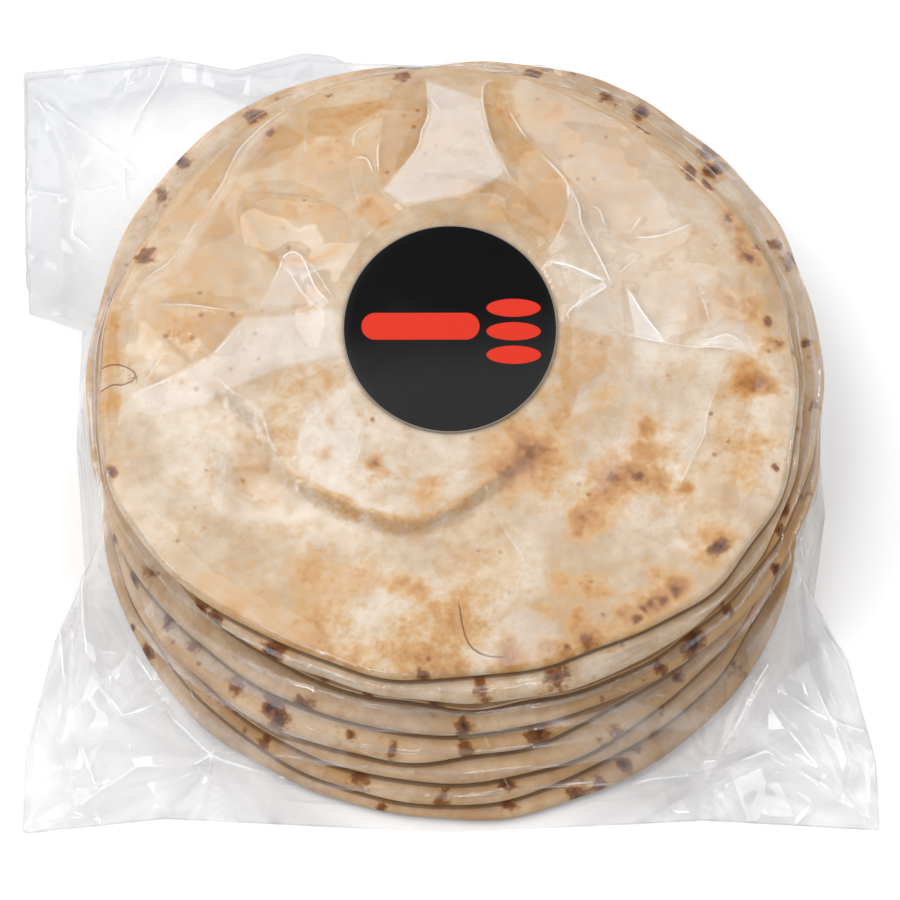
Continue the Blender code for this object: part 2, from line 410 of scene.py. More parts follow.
def nearest_line(x, y, lines):
    """Return the distance to the nearest of several lines, and the same with a side."""
    nearest = np.full(np.shape(x), FAR)
    signed = np.full(np.shape(x), FAR)
    for line in lines:
        distance, _, left = line_distance(x, y, line)
        closer = distance < nearest
        nearest = np.where(closer, distance, nearest)
        signed = np.where(closer, np.where(left, distance, -distance), signed)
    return np.minimum(nearest, FARTHEST), np.clip(signed, -FARTHEST, FARTHEST)


def line_strength(x, y, creases):
    """Return the height of the nearest crease, as a share of the highest."""
    nearest = np.full(np.shape(x), FAR)
    strength = np.zeros(np.shape(x))
    highest = max(height for height, _ in creases)
    for height, line in creases:
        distance, along, _ = line_distance(x, y, smooth_line(line))
        share = height / highest * taper(along, 0.3, 0.3)
        strength = np.where(distance < nearest, share, strength)
        nearest = np.minimum(nearest, distance)
    return strength


def ring_mesh(name, rings, values, centre_first=False, centre_last=False):
    """Make a mesh of rings of points joined in turn, closed by fans where asked."""
    count, sides = rings.shape[:2]
    points = rings.reshape(-1, 3)
    ring = np.arange(count - 1)[:, None] * sides
    side = np.arange(sides)[None, :]
    after = (side + 1) % sides
    quads = np.stack(
        [ring + side, ring + after, ring + sides + after, ring + sides + side], axis=-1
    ).reshape(-1, 4)
    faces = quads.tolist()
    extra = []
    rows = []
    for wanted, row, flip in ((centre_first, 0, True), (centre_last, count - 1, False)):
        if not wanted:
            continue
        middle = len(points) + len(extra)
        extra.append(rings[row].mean(axis=0))
        rows.append(row)
        for start in range(sides):
            pair = (row * sides + start, row * sides + (start + 1) % sides)
            faces.append((pair[1], pair[0], middle) if flip else (pair[0], pair[1], middle))
    if extra:
        points = np.concatenate([points, np.array(extra)])
    mesh = bpy.data.meshes.new(name)
    mesh.from_pydata((points * MM).tolist(), [], faces)
    for key, array in values.items():
        middles = [array[row].mean(axis=0, keepdims=True) for row in rows]
        flat = np.concatenate([array.reshape(-1, *array.shape[2:]), *middles])
        kind, field = ("FLOAT_VECTOR", "vector") if array.ndim == 3 else ("FLOAT", "value")
        layer = mesh.attributes.new(key, kind, "POINT")
        layer.data.foreach_set(field, flat.astype(np.float32).ravel())
    mesh.shade_smooth()
    mesh.update()
    piece = bpy.data.objects.new(name, mesh)
    bpy.context.scene.collection.objects.link(piece)
    return piece


# Rings of a bread, as distances from where its rim's rounding ends.
TOP_INSETS = (88, 60, 44, 34, 27, 22, 18, 15, 12.5, 10.5, 9, 7.5, 6.2, 5, 4, 3, 2, 1)
UNDER_INSETS = (1.5, 4, 8, 14, 30, 60, 88)
TOP_BREAD_REACH = 95.5
ROUND_STEPS = 19
ROUND_INSET = 60.0
LEAST_REACH = 0.8


def rim_profile():
    """Return (inset, lift) pairs round a bread's rim, from its top to its underside."""
    turns = np.linspace(math.pi / 2, -math.pi / 2, ROUND_STEPS)
    return [(RIM_ROUND * (1.0 - math.cos(t)), math.sin(t)) for t in turns]


def rim_share(inset):
    """Return how thick a bread is near its rim, as a share of its full thickness."""
    return 1.0 - RIM_THINNING * (1.0 - smooth_step(inset / RIM_SLOPE))


def bread_rings(index):
    """Return a bread's rings from the middle of its top to that of its underside."""
    if index == TOP_INDEX:
        shares = np.linspace(1.0, 0.0, TOP_RINGS)[:-1]
        upper = [RIM_ROUND + TOP_BREAD_REACH * share for share in shares]
    else:
        upper = [RIM_ROUND + inset for inset in TOP_INSETS]
    lower = [RIM_ROUND + inset for inset in UNDER_INSETS]
    profile = [(inset, 1.0) for inset in upper] + rim_profile()
    profile += [(inset, -1.0) for inset in lower]
    angles = np.linspace(0.0, TURN, BREAD_ANGLES, endpoint=False)
    radius = rim_radius(index, angles)
    rings = []
    for inset, side in profile:
        blend = smooth_step(inset / ROUND_INSET)
        reach = radius - inset
        reach = reach + blend * (np.mean(radius) - inset - reach)
        reach = np.maximum(reach, LEAST_REACH)
        x = BREADS[index][0] + reach * np.cos(angles)
        y = BREADS[index][1] + reach * np.sin(angles)
        low, high = bread_faces(index, x, y)
        half = (high - low) / 2 * rim_share(inset)
        rings.append(np.stack([x, y, (low + high) / 2 + side * half], axis=-1))
    return np.array(rings), np.array(profile)


# Noise that frays the spots: distance, size, seed and layers.
SPOT_DRIFT_X = (2.4, 6.0, 31, 3)
SPOT_DRIFT_Y = (2.4, 6.0, 35, 3)


def scaled(spots, size, weight=1.0):
    """Return spots with their radius and strength scaled."""
    return [(x, y, size * radius, weight * strength) for x, y, radius, strength in spots]


def spots_value(x, y, spots):
    """Return how strongly a list of (x, y, radius, strength) spots marks each point."""
    total = np.zeros(np.shape(x))
    x, y = x + relief_noise(x, y, SPOT_DRIFT_X), y + relief_noise(x, y, SPOT_DRIFT_Y)
    for spot_x, spot_y, radius, strength in spots:
        distance = np.hypot(x - spot_x, y - spot_y) / radius
        total = np.maximum(total, strength * np.exp(-distance ** 2))
    return total


# Scorched spots round the breads' rims: direction, distance from the rim, radius, strength.
RIM_SPOTS = (
    ((-151, 0, 1.8, 1.0), (-146, 0, 1.8, 0.9), (-100, 0, 2.4, 0.8), (-81, 3, 3.0, 0.75),
     (-70, 1, 3.0, 0.8), (-67, 0, 2.6, 0.8), (-62, 3, 2.8, 1.0), (-59, 6, 2.4, 0.8),
     (-38, 3, 3.0, 0.6)),
    ((-164, 0, 1.8, 1.0), (-120, 1, 3.2, 0.8), (-104, 4, 3.6, 0.75), (-91, 0, 2.8, 0.75),
     (-81, 4, 2.4, 0.8), (-54, 4, 2.2, 0.9)),
    ((-109, 4, 2.4, 0.5), (-66, 0, 2.0, 0.6), (-63, 0, 2.5, 0.8), (-49, 3, 2.0, 0.9)),
    ((-151, 0, 2.4, 1.0), (-141, 5, 2.6, 1.0), (-135, 5, 3.0, 0.7), (-126, 4, 3.0, 0.75),
     (-119, 5, 3.8, 1.0), (-117, 3, 3.0, 1.0), (-106, 4, 2.8, 0.75), (-99, 3, 2.2, 0.95),
     (-87, 1, 3.0, 0.7), (-75, 2, 4.5, 0.8)),
    ((-145, 4, 2.5, 0.6), (-112, 0, 2.4, 0.9), (-87, 1, 2.6, 1.0), (-55, 1, 2.2, 0.9),
     (-49, 3, 4.0, 1.0), (-41, 3, 2.0, 0.8), (-31, 0, 2.0, 1.0), (-19, 3, 1.8, 0.6),
     (123, 5, 3.2, 1.0), (137, 2, 3.4, 0.95), (144, 4, 3.0, 0.7)),
    ((-114, 2, 2.6, 0.85), (-106, 0, 2.4, 0.95), (-96, 0, 2.4, 0.95), (-69, 0, 1.4, 1.0),
     (-46, 0, 1.4, 0.9), (-30, 1, 2.0, 0.8), (-27, 3, 3.2, 0.75), (-7, 2, 2.0, 0.9),
     (4, 4, 1.8, 0.9), (20, 2, 3.0, 0.7), (24, 4, 3.0, 0.9), (42, 6, 3.4, 1.0),
     (45, 2, 2.8, 0.9), (59, 6, 2.6, 1.0)),
    ((-135, 0, 2.4, 0.95), (-132, 0, 2.6, 0.9), (-121, 0, 3.2, 0.95), (-86, 3, 3.2, 0.9),
     (-73, 2, 3.4, 0.8)),
    ((-160, 2, 1.8, 0.9), (-94, 0, 2.4, 0.8), (2, 0, 1.8, 0.9), (37, 0, 2.4, 0.8)),
)
EXTRA_RIM_SPOTS = 9
EXTRA_RIM_RANGES = ((-20, 200), (0, 6), (1.2, 3.2), (0.5, 1))

# Toasted patches of the top bread, with some spots of painted shade among them: x, y, radius,
# strength.
TOAST_AND_SHADE_SPOTS = (
    (-92, 8, 5, 0.5), (-92, -4, 5, 0.5), (-91, -18, 4, 0.5), (-41, 40, 4, 0.5), (-32, 40, 5, 0.6),
    (-28, 74, 10, 0.45), (-17, 77, 5, 0.5), (-18, 40, 4, 0.7), (-14, 36, 4, 0.6),
    (-36, 12, 3, 0.6), (-61, -17, 3, 0.35), (-38, -14, 4, 0.4), (-30, -12, 4, 0.4),
    # Broad soft spots of painted shade on the back left, where the bread slopes away.
    (-30, 60, 16, 0.35), (-36, 70, 14, 0.35), (-62, 44, 18, 0.3),
    (8, -85, 8, 0.75), (3, -96, 7, 0.7), (-5, -88, 6, 0.55),
    (-60, -82, 10, 0.45), (-48, -90, 12, 0.5), (-36, -95, 12, 0.55), (-22, -98, 10, 0.5),
    (-8, -98, 10, 0.5),
    # Spots of painted shade in the dip in front of the lip.
    (-47, -35, 10, 0.35), (-54, -30, 8, 0.3),
    (-72, 20, 14, 0.35), (-64, 10, 12, 0.3), (8, 62, 12, 0.25), (60, 60, 18, 0.3),
    (74, 30, 16, 0.25),
    (-74, 4, 12, 0.35), (22, 78, 9, 0.5), (26, 62, 8, 0.45), (29, 44, 8, 0.55), (36, -8, 10, 0.4),
    (-28, -26, 2, 0.6), (-29, -36, 2.5, 0.9), (-15, -38, 2.5, 0.8), (-13, -42, 2.5, 0.6),
    (0, -50, 4, 0.7), (2, -46, 4, 0.6), (-6, -42, 3, 0.5),
    (-32, -72, 8, 0.55), (-24, -74, 7, 0.45), (-16, -73, 4, 0.3), (-8, -75, 3, 0.7),
    (-3, -78, 4, 0.8), (2, -83, 4, 0.7), (-31, -84, 8, 0.6), (-29, -92, 8, 0.65),
    (-24, -88, 5, 0.5), (-20, -96, 5, 0.6), (-52, -81, 6, 0.5), (-44, -88, 5, 0.3),
    (-6, -90, 5, 0.4), (4, -99, 5, 0.8), (8, -99, 4, 0.8), (10, -84, 5, 0.8), (14, -82, 4, 0.5),
    (22, -95, 4, 0.85), (24, -98, 4, 0.8), (20, -92, 5, 0.4), (33, -82, 3, 0.6), (37, -74, 3, 0.6),
    (45, -77, 3, 0.7), (49, -76, 3, 0.6), (41, -79, 5, 0.4), (34, -95, 4, 0.9), (39, -95, 4, 0.9),
    (45, -91, 4.5, 1.0), (43, -86, 3, 0.8), (56, -84, 4, 0.9), (61, -81, 4, 0.9),
    (66, -78, 4, 0.9), (70, -75, 4, 1.0), (64, -72, 3, 0.8), (52, -88, 4, 0.6),
    (43, -56, 4, 1.0), (47, -54, 4, 0.8), (50, -49, 6, 0.8), (54, -43, 6, 0.9), (60, -41, 6, 1.0),
    (62, -34, 6, 0.85), (63, -26, 4, 0.9), (60, -21, 3, 0.5), (66, -44, 5, 0.7), (56, -36, 5, 0.5),
    (33, -46, 5, 0.55), (27, -43, 4, 0.5), (79, -65, 4, 0.8), (82, -60, 4, 0.9), (73, -45, 3, 0.7),
    (29, -36, 8, 1.15), (24, -40, 6, 1.0), (32, -31, 4, 0.7), (94, -31, 5, 0.6), (92, -41, 4, 0.5),
    (94, -12, 5, 0.9), (91, -8, 4, 0.7), (98, -14, 3, 0.7), (88, 12, 5, 0.7), (93, 12, 5, 0.8),
    (98, 8, 3, 0.9), (100, 0, 3, 0.9), (94, 28, 4, 0.9), (92, 32, 4, 0.8), (91, 38, 4, 0.8),
    (89, 42, 4, 0.8), (77, 44, 3, 0.6), (78, 36, 3, 0.6), (60, 58, 3, 0.6), (60, 53, 3, 0.6),
    (43, 66, 4, 0.6), (38, 76, 4, 0.7), (44, 62, 3, 0.5), (34, 48, 4, 0.6), (38, 50, 4, 0.6),
    (36, 36, 5, 0.5), (19, 37, 4, 0.6), (15, 61, 4, 0.5), (12, 46, 4, 0.4), (39, -25, 5, 0.5),
    (51, -17, 4, 0.5), (45, -5, 8, 0.3),
)
SCORCHED = (
    (60, -42, 2.4, 0.8), (53, -43, 1.8, 0.5), (82, -62, 2.8, 1.0), (79, -63, 2, 0.9),
    (45, -91, 2, 0.8), (57, -84, 1.6, 0.8), (60, -81, 1.6, 0.8), (62, -80, 1.4, 0.7),
    (66, -78, 1.6, 0.9), (70, -76, 1.8, 0.9), (34, -95, 1.4, 0.6), (40, -94, 1.4, 0.7),
    (99, 8, 1.8, 0.9), (100, 0, 1.5, 0.7), (94, 27, 1.5, 0.8), (90, 42, 1.5, 0.8),
)

# Dark cracks and edges in the top bread.
CRACKS = (
    ((-94, -6.5), (-91, -6), (-88, -7), (-85, -9), (-84, -11)),
    ((-94, -14), (-91, -12.5), (-88, -13), (-85, -12)),
    ((9, -82), (10, -88), (12, -93), (16, -95.5), (21, -96)),
)
CRACK_WIDTH = 0.34

# How the marks of a bread spread: size and strength beside each spot, and shares of edges.
HALO_SIZE = 1.7
HALO_STRENGTH = 0.6
TOAST_AND_SHADE_SIZE = 1.2
# Strength of the painted shadow under the lip.
LIP_SHADOW_STRENGTH = 0.55
BLISTER_EDGE_DARKNESS = 0.6
RIM_TONE_AND_SHADE_WIDTH = 9.0
UNDER_FROM = 0.8


def rim_spots(index):
    """Return the scorched spots of a bread's rim as (x, y, radius, strength)."""
    random = np.random.default_rng(200 + index)
    placed = list(RIM_SPOTS[index])
    for _ in range(EXTRA_RIM_SPOTS):
        placed.append(tuple(random.uniform(*span) for span in EXTRA_RIM_RANGES))
    spots = []
    for direction, inset, radius, strength in placed:
        turn = math.radians(direction)
        reach = rim_radius(index, np.array([turn]))[0] - inset
        x = BREADS[index][0] + reach * math.cos(turn)
        y = BREADS[index][1] + reach * math.sin(turn)
        spots.append((x, y, radius, strength))
    return spots


def make_breads():
    pieces = []
    for index in range(len(BREADS)):
        rings, profile = bread_rings(index)
        x, y = rings[..., 0], rings[..., 1]
        inset, side = profile[:, :1], profile[:, 1:]
        spots = rim_spots(index)
        char = spots_value(x, y, spots)
        toast_and_shade = spots_value(x, y, scaled(spots, HALO_SIZE, HALO_STRENGTH))
        crack, crack_side = np.full((2, *x.shape), FARTHEST)
        above = np.full(x.shape, -FARTHEST)
        if index == TOP_INDEX:
            char = np.maximum(char, spots_value(x, y, SCORCHED))
            toast_and_shade = np.maximum(toast_and_shade, spots_value(x, y, scaled(TOAST_AND_SHADE_SPOTS, TOAST_AND_SHADE_SIZE)))
            # Painted shadow: a warm brown band under the lip, carried with the toast.
            toast_and_shade = np.maximum(toast_and_shade, LIP_SHADOW_STRENGTH * lip_painted_shadow(x, y))
            # A darker line along part of the blister's edge.
            toast_and_shade = np.maximum(toast_and_shade, BLISTER_EDGE_DARKNESS * blister_edge(x, y))
            crack, crack_side = nearest_line(x, y, [smooth_line(line) for line in CRACKS])
        else:
            # How far under the rim of the bread above each point of the upper face lies; the
            # material paints shadow and crevice shade from it.
            covered = np.clip(edge_distance(index + 1, x, y), -FARTHEST, FARTHEST)
            above = np.where(side > 0.0, covered, above)
        values = {
            "toast_and_shade": toast_and_shade, "char": char, "crack": crack, "crack_side": crack_side,
            "rim": np.broadcast_to(1.0 - smooth_step(inset / RIM_TONE_AND_SHADE_WIDTH), x.shape),
            "under": np.broadcast_to(smooth_step(-side / UNDER_FROM), x.shape),
            "above": above,
        }
        pieces.append(ring_mesh(f"pita_{index + 1}", rings, values, True, True))
    return pieces


def footprint_reach(angles):
    """Return how far the bag's outline lies from the label's centre in each direction."""
    ray_x, ray_y = np.cos(angles), np.sin(angles)
    reach = np.zeros(angles.shape)
    for start, end in zip(FOOTPRINT, FOOTPRINT[1:] + FOOTPRINT[:1]):
        a_x, a_y = start[0] - CENTRE[0], start[1] - CENTRE[1]
        edge_x, edge_y = end[0] - start[0], end[1] - start[1]
        turn = ray_x * edge_y - ray_y * edge_x
        turn = np.where(np.abs(turn) < 1e-9, 1e-9, turn)
        distance = (a_x * edge_y - a_y * edge_x) / turn
        share = (a_x * ray_y - a_y * ray_x) / turn
        hit = (share >= -1e-6) & (share <= 1.0 + 1e-6)
        reach = np.where(hit, np.maximum(reach, distance), reach)
    return reach


def taut_reach(heights, knots):
    """Return the reach of a film stretched over (height, reaches) knots."""
    reach = np.zeros((len(heights), knots[0][1].shape[0]))
    for (low, low_reach), (high, high_reach) in itertools.combinations(knots, 2):
        share = ((heights - low) / (high - low))[:, None]
        line = low_reach + (high_reach - low_reach) * share
        reach = np.where((share >= 0.0) & (share <= 1.0), np.maximum(reach, line), reach)
    return reach


# The film's side: its heights, its sag between the rims, and where its parts begin.
SIDE_FOOT = 4.0
SIDE_TOP = 55.01
SIDE_STEP = 0.5
SAG_MEAN = 0.9
SAG_SWING = 0.7
SAG_LIMITS = (0.1, 2.0)
SAG_SIZE = 26.0
SAG_SEED = 7
SAG_ROUND = 90


def direction_gap(degrees, middle):
    """Return how far each direction lies from a middle one, in degrees."""
    return np.abs((degrees - middle + 180.0) % 360.0 - 180.0)


def tail_share(angles):
    """Return 1 in the directions of the bag's tail, fading to 0 beside it."""
    gap = direction_gap(np.degrees(angles), TAIL_DIRECTION)
    return 1.0 - smooth_step((gap - TAIL_HALF_ANGLE) / TAIL_FADE)


def stack_reach(heights, angles, reaches):
    """Return how far the stack of breads reaches at each height in each direction."""
    x = CENTRE[0] + reaches * np.cos(angles)
    y = CENTRE[1] + reaches * np.sin(angles)
    stack = np.zeros((len(heights), len(angles)))
    for index in range(len(BREADS)):
        low, high = bread_faces(index, x[index], y[index])
        middle, half = (low + high) / 2, (high - low) / 2 * (1.0 - RIM_THINNING)
        lift = np.clip((heights[:, None] - middle) / half, -1.0, 1.0)
        inset = RIM_ROUND * (1.0 - np.sqrt(1.0 - lift ** 2))
        stack = np.maximum(stack, np.where(np.abs(lift) < 1.0, reaches[index] - inset, 0.0))
    return stack


def side_profile(angles):
    """Return the film's reach at each height of its side, and the stack's own reach."""
    heights = [0.5, TAIL_THICKNESS], np.arange(SIDE_FOOT, SIDE_TOP, SIDE_STEP)
    heights = np.concatenate(heights)
    reaches = np.array([rim_reach(index, angles) for index in range(len(BREADS))])
    outer = footprint_reach(angles)
    stack = stack_reach(heights, angles, reaches)
    knots = [(0.0, np.minimum(outer, reaches[0] + SKIRT_REACH))]
    knots += [(PITCH * (i + 0.5), reach) for i, reach in enumerate(reaches)]
    knots += [(PITCH * len(BREADS) - 1.5, reaches[-1] - RIM_ROUND * 0.5)]
    taut = taut_reach(heights, knots)
    ray_x, ray_y = SAG_ROUND * np.cos(angles)[None], SAG_ROUND * np.sin(angles)[None]
    z = heights[:, None]
    sag = SAG_MEAN + SAG_SWING * lattice_noise(ray_x, ray_y, z, SAG_SIZE, SAG_SEED)
    film = np.maximum(stack + FILM_GAP, taut + FILM_GAP - np.clip(sag, *SAG_LIMITS))
    excess = np.maximum(0.0, outer - reaches[0])
    rise = np.minimum(WEB_MAX_HEIGHT, WEB_BASE_HEIGHT + WEB_RISE * excess)
    level = np.arange(len(BREADS)) * PITCH + PITCH / 2
    attached, tail_attached = np.array([
        (np.interp(top, level, column), np.interp(TAIL_WEB_HEIGHT, level, column))
        for top, column in zip(rise, reaches.T)
    ]).T
    web = outer - (outer - attached) * np.clip(z / rise, 0.0, 1.0) ** WEB_SAG
    film = np.maximum(film, np.where(z < rise, web, 0.0))
    climb = np.clip((z - TAIL_THICKNESS) / (TAIL_WEB_HEIGHT - TAIL_THICKNESS), 0.0, 1.0)
    sheet = tail_attached + TAIL_WEB_REACH * (1.0 - climb) ** 2
    sheet = np.where(z < TAIL_THICKNESS + 0.01, outer, sheet)
    sheet = np.where(z >= TAIL_WEB_HEIGHT, 0.0, sheet)
    film = film + tail_share(angles) * np.maximum(0.0, sheet - film)
    film[0] = outer
    return heights, film, stack


def resample_side(heights, reach):
    """Return evenly spaced (reach, height) rings along each column of the side."""
    steps = np.hypot(np.diff(reach, axis=0), np.diff(heights)[:, None])
    length = np.concatenate([np.zeros((1, reach.shape[1])), np.cumsum(steps, axis=0)])
    shares = np.linspace(0.0, 1.0, FILM_SIDE_RINGS)
    rings = np.zeros((FILM_SIDE_RINGS, reach.shape[1], 2))
    for column in range(reach.shape[1]):
        wanted = shares * length[-1, column]
        rings[:, column, 0] = np.interp(wanted, length[:, column], reach[:, column])
        rings[:, column, 1] = np.interp(wanted, length[:, column], heights)
    return rings


# Creases of the film over the top bread, as height and line.
TOP_CREASES = (
    (1.2, ((-86, 16), (-81, 22), (-75, 27), (-68, 40), (-61, 52), (-59, 58), (-54, 68),
           (-38, 83), (-14, 90))),
    (1.2, ((-92, 11), (-73, 11), (-59, 8), (-51, 8), (-44, 9), (-27, 8))),
    (1.4, ((-84, -16), (-81, -15), (-72, -11), (-62, -6), (-57, -1), (-53, 6), (-51, 8))),
    (0.7, ((-83, -15), (-75, -2), (-74, 4))),
    (1.5, ((-50, 9), (-44, 20), (-42, 25), (-39, 26), (-36, 23), (-32, 13), (-26, 8))),
    (0.8, ((-42, 24), (-38, 16), (-34, 10), (-28, 5))),
    (0.8, ((-35, 24), (-26, 8))),
    (1.3, ((-13, 78), (-14, 69), (-15, 58), (-14, 47), (-13, 44))),
    (1.0, ((-13, 77), (-18, 70), (-22, 66), (-22, 58))),
    (1.3, ((-19, 37), (-21, 44), (-23, 55), (-21, 57), (-18, 56), (-16, 50), (-14, 44), (-7, 38))),
    (1.3, ((-14, 44), (-8, 51), (-3, 60), (-2, 66), (0, 73), (-1, 88))),
    (0.9, ((0, 90), (0, 81), (4, 73))),
    (0.6, ((-37, 69), (-36, 59), (-32, 48))),
    (0.9, ((-62, -11), (-56, -18), (-51, -20), (-45, -21), (-40, -10))),
    (0.9, ((-47, -24), (-45, -32), (-39, -41))),
    (0.5, ((-18, -27), (-21, -43))),
    (1.2, ((23, 93), (34, 87), (44, 82), (53, 76), (60, 72), (70, 63), (80, 54), (88, 44),
           (91, 40))),
    (1.3, ((22, 89), (17, 87), (16, 80), (17, 72), (19, 63), (23, 52), (27, 47))),
    (1.5, ((22, 88), (23, 80), (27, 70), (33, 60), (40, 50), (41, 44), (40, 36), (37, 28),
           (33, 23))),
    (0.8, ((20, 62), (22, 56), (24, 49))),
    (0.8, ((25, 47), (22, 39), (20, 42), (10, 41))),
    (1.5, ((40, 51), (44, 41), (45, 34), (52, 19), (58, 0))),
    (1.6, ((53, 16), (42, 20), (34, 21))),
    (1.6, ((53, 16), (41, 7), (41, 4))),
    (1.6, ((57, 17), (62, 8), (69, -1))),
    (1.0, ((54, 18), (60, 24), (62, 24))),
    (1.5, ((58, 31), (63, 39))),
    (1.5, ((58, 31), (68, 32), (79, 38))),
    (0.9, ((47, 41), (50, 40), (52, 33), (54, 26))),
    (1.0, ((70, 25), (79, 24), (87, 25))),
    (1.5, ((41, 5), (59, 1), (69, -1), (77, -2), (84, -2), (92, -3))),
    (1.1, ((77, -1), (83, 1), (87, 2), (92, -1))),
    (0.8, ((78, 20), (82, 5))),
    (0.5, ((19, -52), (22, -59), (26, -65), (27, -70), (25, -78), (32, -80))),
    (0.6, ((25, -78), (19, -82), (15, -91))),
    (0.3, ((54, -55), (55, -64), (59, -68))),
    (0.6, ((87, -3), (83, -14), (80, -23), (79, -29), (75, -37), (70, -49), (70, -57), (74, -65))),
)
CREASE_SLOPE = 0.45

# Parts of the top where the film clings to the bread and looks clear.
CLINGING = (
    ((87, -3), (83, -14), (80, -23), (79, -29), (75, -37), (70, -49), (70, -57), (74, -65),
     (82, -60), (88, -51), (89, -35), (92, -24), (96, -6), (92, -2)),
    ((1, -69), (3, -62), (5, -57), (19, -53), (25, -63), (27, -70), (25, -78), (15, -79),
     (6, -79)),
    ((-46, -25), (-38, -14), (-30, -10), (-23, -8), (-24, -12), (-35, -23), (-37, -30),
     (-38, -42), (-44, -33)),
    ((30, 49), (40, 49), (41, 42), (39, 34), (34, 23), (28, 27), (20, 38), (24, 38), (29, 38)),
    ((17, 87), (22, 88), (23, 80), (27, 70), (33, 60), (40, 50), (30, 50), (24, 56), (19, 62),
     (17, 72), (16, 80)),
    ((-36, 78), (-14, 80), (-15, 75), (-23, 69), (-32, 66), (-37, 70)),
    ((-47, 75), (-37, 68), (-41, 60), (-54, 55), (-58, 55), (-53, 64)),
    ((-10, 86), (-1, 88), (0, 73), (-2, 66), (-3, 60), (-8, 51), (-14, 45), (-15, 58),
     (-14, 69), (-13, 78)),
    ((-70, 35), (-61, 47), (-57, 35), (-67, 31)),
    ((-76, -1), (-74, 7), (-59, 8), (-53, 6), (-57, 0), (-62, -6), (-72, -11), (-81, -14)),
    ((39, 3), (53, 0), (51, -10), (44, -14), (42, -22), (37, -28), (33, -22), (38, -14)),
    ((77, 19), (82, 8), (78, 0), (73, 0)),
    ((10, 41), (11, 47), (15, 49), (20, 46), (19, 42)),
    ((-94, 13), (-89, 11), (-90, 0), (-88, -22), (-91, -32), (-93, -11)),
    ((-40, 11), (-38, 14), (-32, 8), (-40, 8)),
    ((-21, 44), (-17, 41), (-14, 38), (-11, 34), (-16, 31), (-19, 36)),
)

# Facets of the film painted paler, a painted highlight where they would catch the light.
HIGHLIGHT_FACETS = (
    ((42, 6), (44, 12), (51, 17), (52, 15)), ((57, 17), (62, 8), (69, -1), (60, 1)),
    ((77, -2), (83, 1), (87, 2), (92, -1), (92, -3), (84, -2)),
    ((34, 22), (42, 21), (53, 17), (44, 17)),
)

# Paler parts of the film on top, as amount and outline: partly the haze of film lifted off the
# bread, partly painted reflection of the lights.
PALE_HAZE_AND_REFLECTION_ZONES = (
    (0.15, ((-1, 88), (16, 80), (17, 72), (19, 63), (23, 52), (20, 48), (11, 41), (-7, 38),
            (-14, 44), (-3, 60), (0, 73))),
    (0.055, ((24, 92), (60, 72), (91, 40), (92, -3), (58, 0), (41, 5), (34, 21), (40, 36),
             (41, 50), (27, 70))),
    (0.10, ((-50, 9), (-42, 25), (-36, 23), (-27, 8))),
    (0.08, ((14, -97), (21, -85), (27, -81), (37, -86), (36, -97), (27, -101))),
    (0.13, ((-84, -16), (-62, -6), (-53, 6), (-27, 8), (-25, -6), (-40, -10), (-56, -18),
            (-62, -20), (-80, -24))),
    (0.10, ((-37, -42), (-37, -30), (-34, -23), (-24, -14), (-18, -27), (-21, -43), (-28, -49))),
    (0.05, ((60, 0), (68, 0), (60, -32), (50, -48), (44, -46), (54, -30))),
    (0.06, ((-86, 16), (-75, 27), (-61, 52), (-54, 68), (-38, 83), (-46, 70), (-56, 54),
            (-66, 34), (-72, 22))),
)

# Creases and a pale band of the film round the rims, as (direction, height) points.
WALL_CREASES = (
    ((-67, 44), (-57, 31)), ((-70, 34), (-60, 24), (-53, 14)), ((-64, 37), (-54, 22), (-50, 14)),
    ((-110, 32), (-96, 24)), ((-135, 40), (-125, 22), (-122, 14)), ((-150, 42), (-138, 14)),
    ((-30, 46), (-36, 26), (-40, 14)), ((-86, 40), (-82, 14)),
)
WALL_BANDS = (
    (0.07, ((-70, 34), (-60, 24), (-50, 10), (-46, 6), (-54, 22), (-64, 37))),
    (0.07, ((-113, 30), (-104, 28), (-104, 21), (-113, 22))),
    (0.05, ((-140, 34), (-130, 30), (-122, 12), (-128, 12))),
)
ARC_PER_DEGREE = 1.85
SIDE_VEIL = 0.14
SIDE_VEIL_DIRECTION = 12.0
SIDE_VEIL_HALF_ANGLE = 20.0

# Creases of the ears and the tail, as height, half-width and line.
LOW_CREASES = (
    (2.2, 4.0, ((-102, -52), (-102, -68), (-100, -80), (-94, -91), (-88, -100), (-74, -96))),
    (1.6, 3.0, ((-62, -111), (-74, -100), (-84, -84))),
    (1.6, 3.0, ((-62, -111), (-50, -116), (-34, -121))),
    (1.4, 3.0, ((-62, -111), (-84, -112), (-100, -122))),
    (1.4, 3.0, ((-110, -66), (-106, -92), (-96, -118))),
    (2.0, 4.0, ((109, -23), (106, -44), (116, -67), (125, -83))),
    (2.0, 4.0, ((105, -62), (112, -84), (122, -110))),
    (1.8, 3.0, ((81, -114), (98, -108), (116, -118))),
    (1.8, 3.0, ((81, -114), (60, -119), (40, -120))),
    (1.6, 3.0, ((81, -114), (90, -100), (98, -86))),
    (1.6, 3.0, ((104, -92), (116, -98), (128, -100))),
    (1.5, 3.0, ((-126, 112), (-119, 100), (-110, 76), (-112, 62), (-103, 52))),
    (1.3, 3.0, ((-122, 110), (-98, 86), (-92, 78))),
    (1.2, 2.5, ((-130, 80), (-112, 76), (-98, 74))),
    (1.2, 2.5, ((-84, 127), (-92, 104), (-96, 86), (-94, 60))),
)
LOW_WRINKLES = 80
FAN_KNOTS = ((-62, -111), (-101, -60), (81, -114), (108, -45), (-126, 121), (-84, 127))
GRID_STEP = 0.75
GRID_HALF = 120.0
FILM_PULL = 0.03
GRID_ROUNDS = 500

# Crumples of the film over the top: size, seed, and height at the front and added behind.
TOP_CRUMPLE_SIZE = 15.0
TOP_CRUMPLE_SEED = 71
TOP_CRUMPLE_HEIGHT = 0.25
TOP_CRUMPLE_BACK = 0.45
CREASE_HEIGHT = 0.7
CREASE_END = 0.4
HELD_MARGIN = 1.0
RIM_MARGIN = 2.0


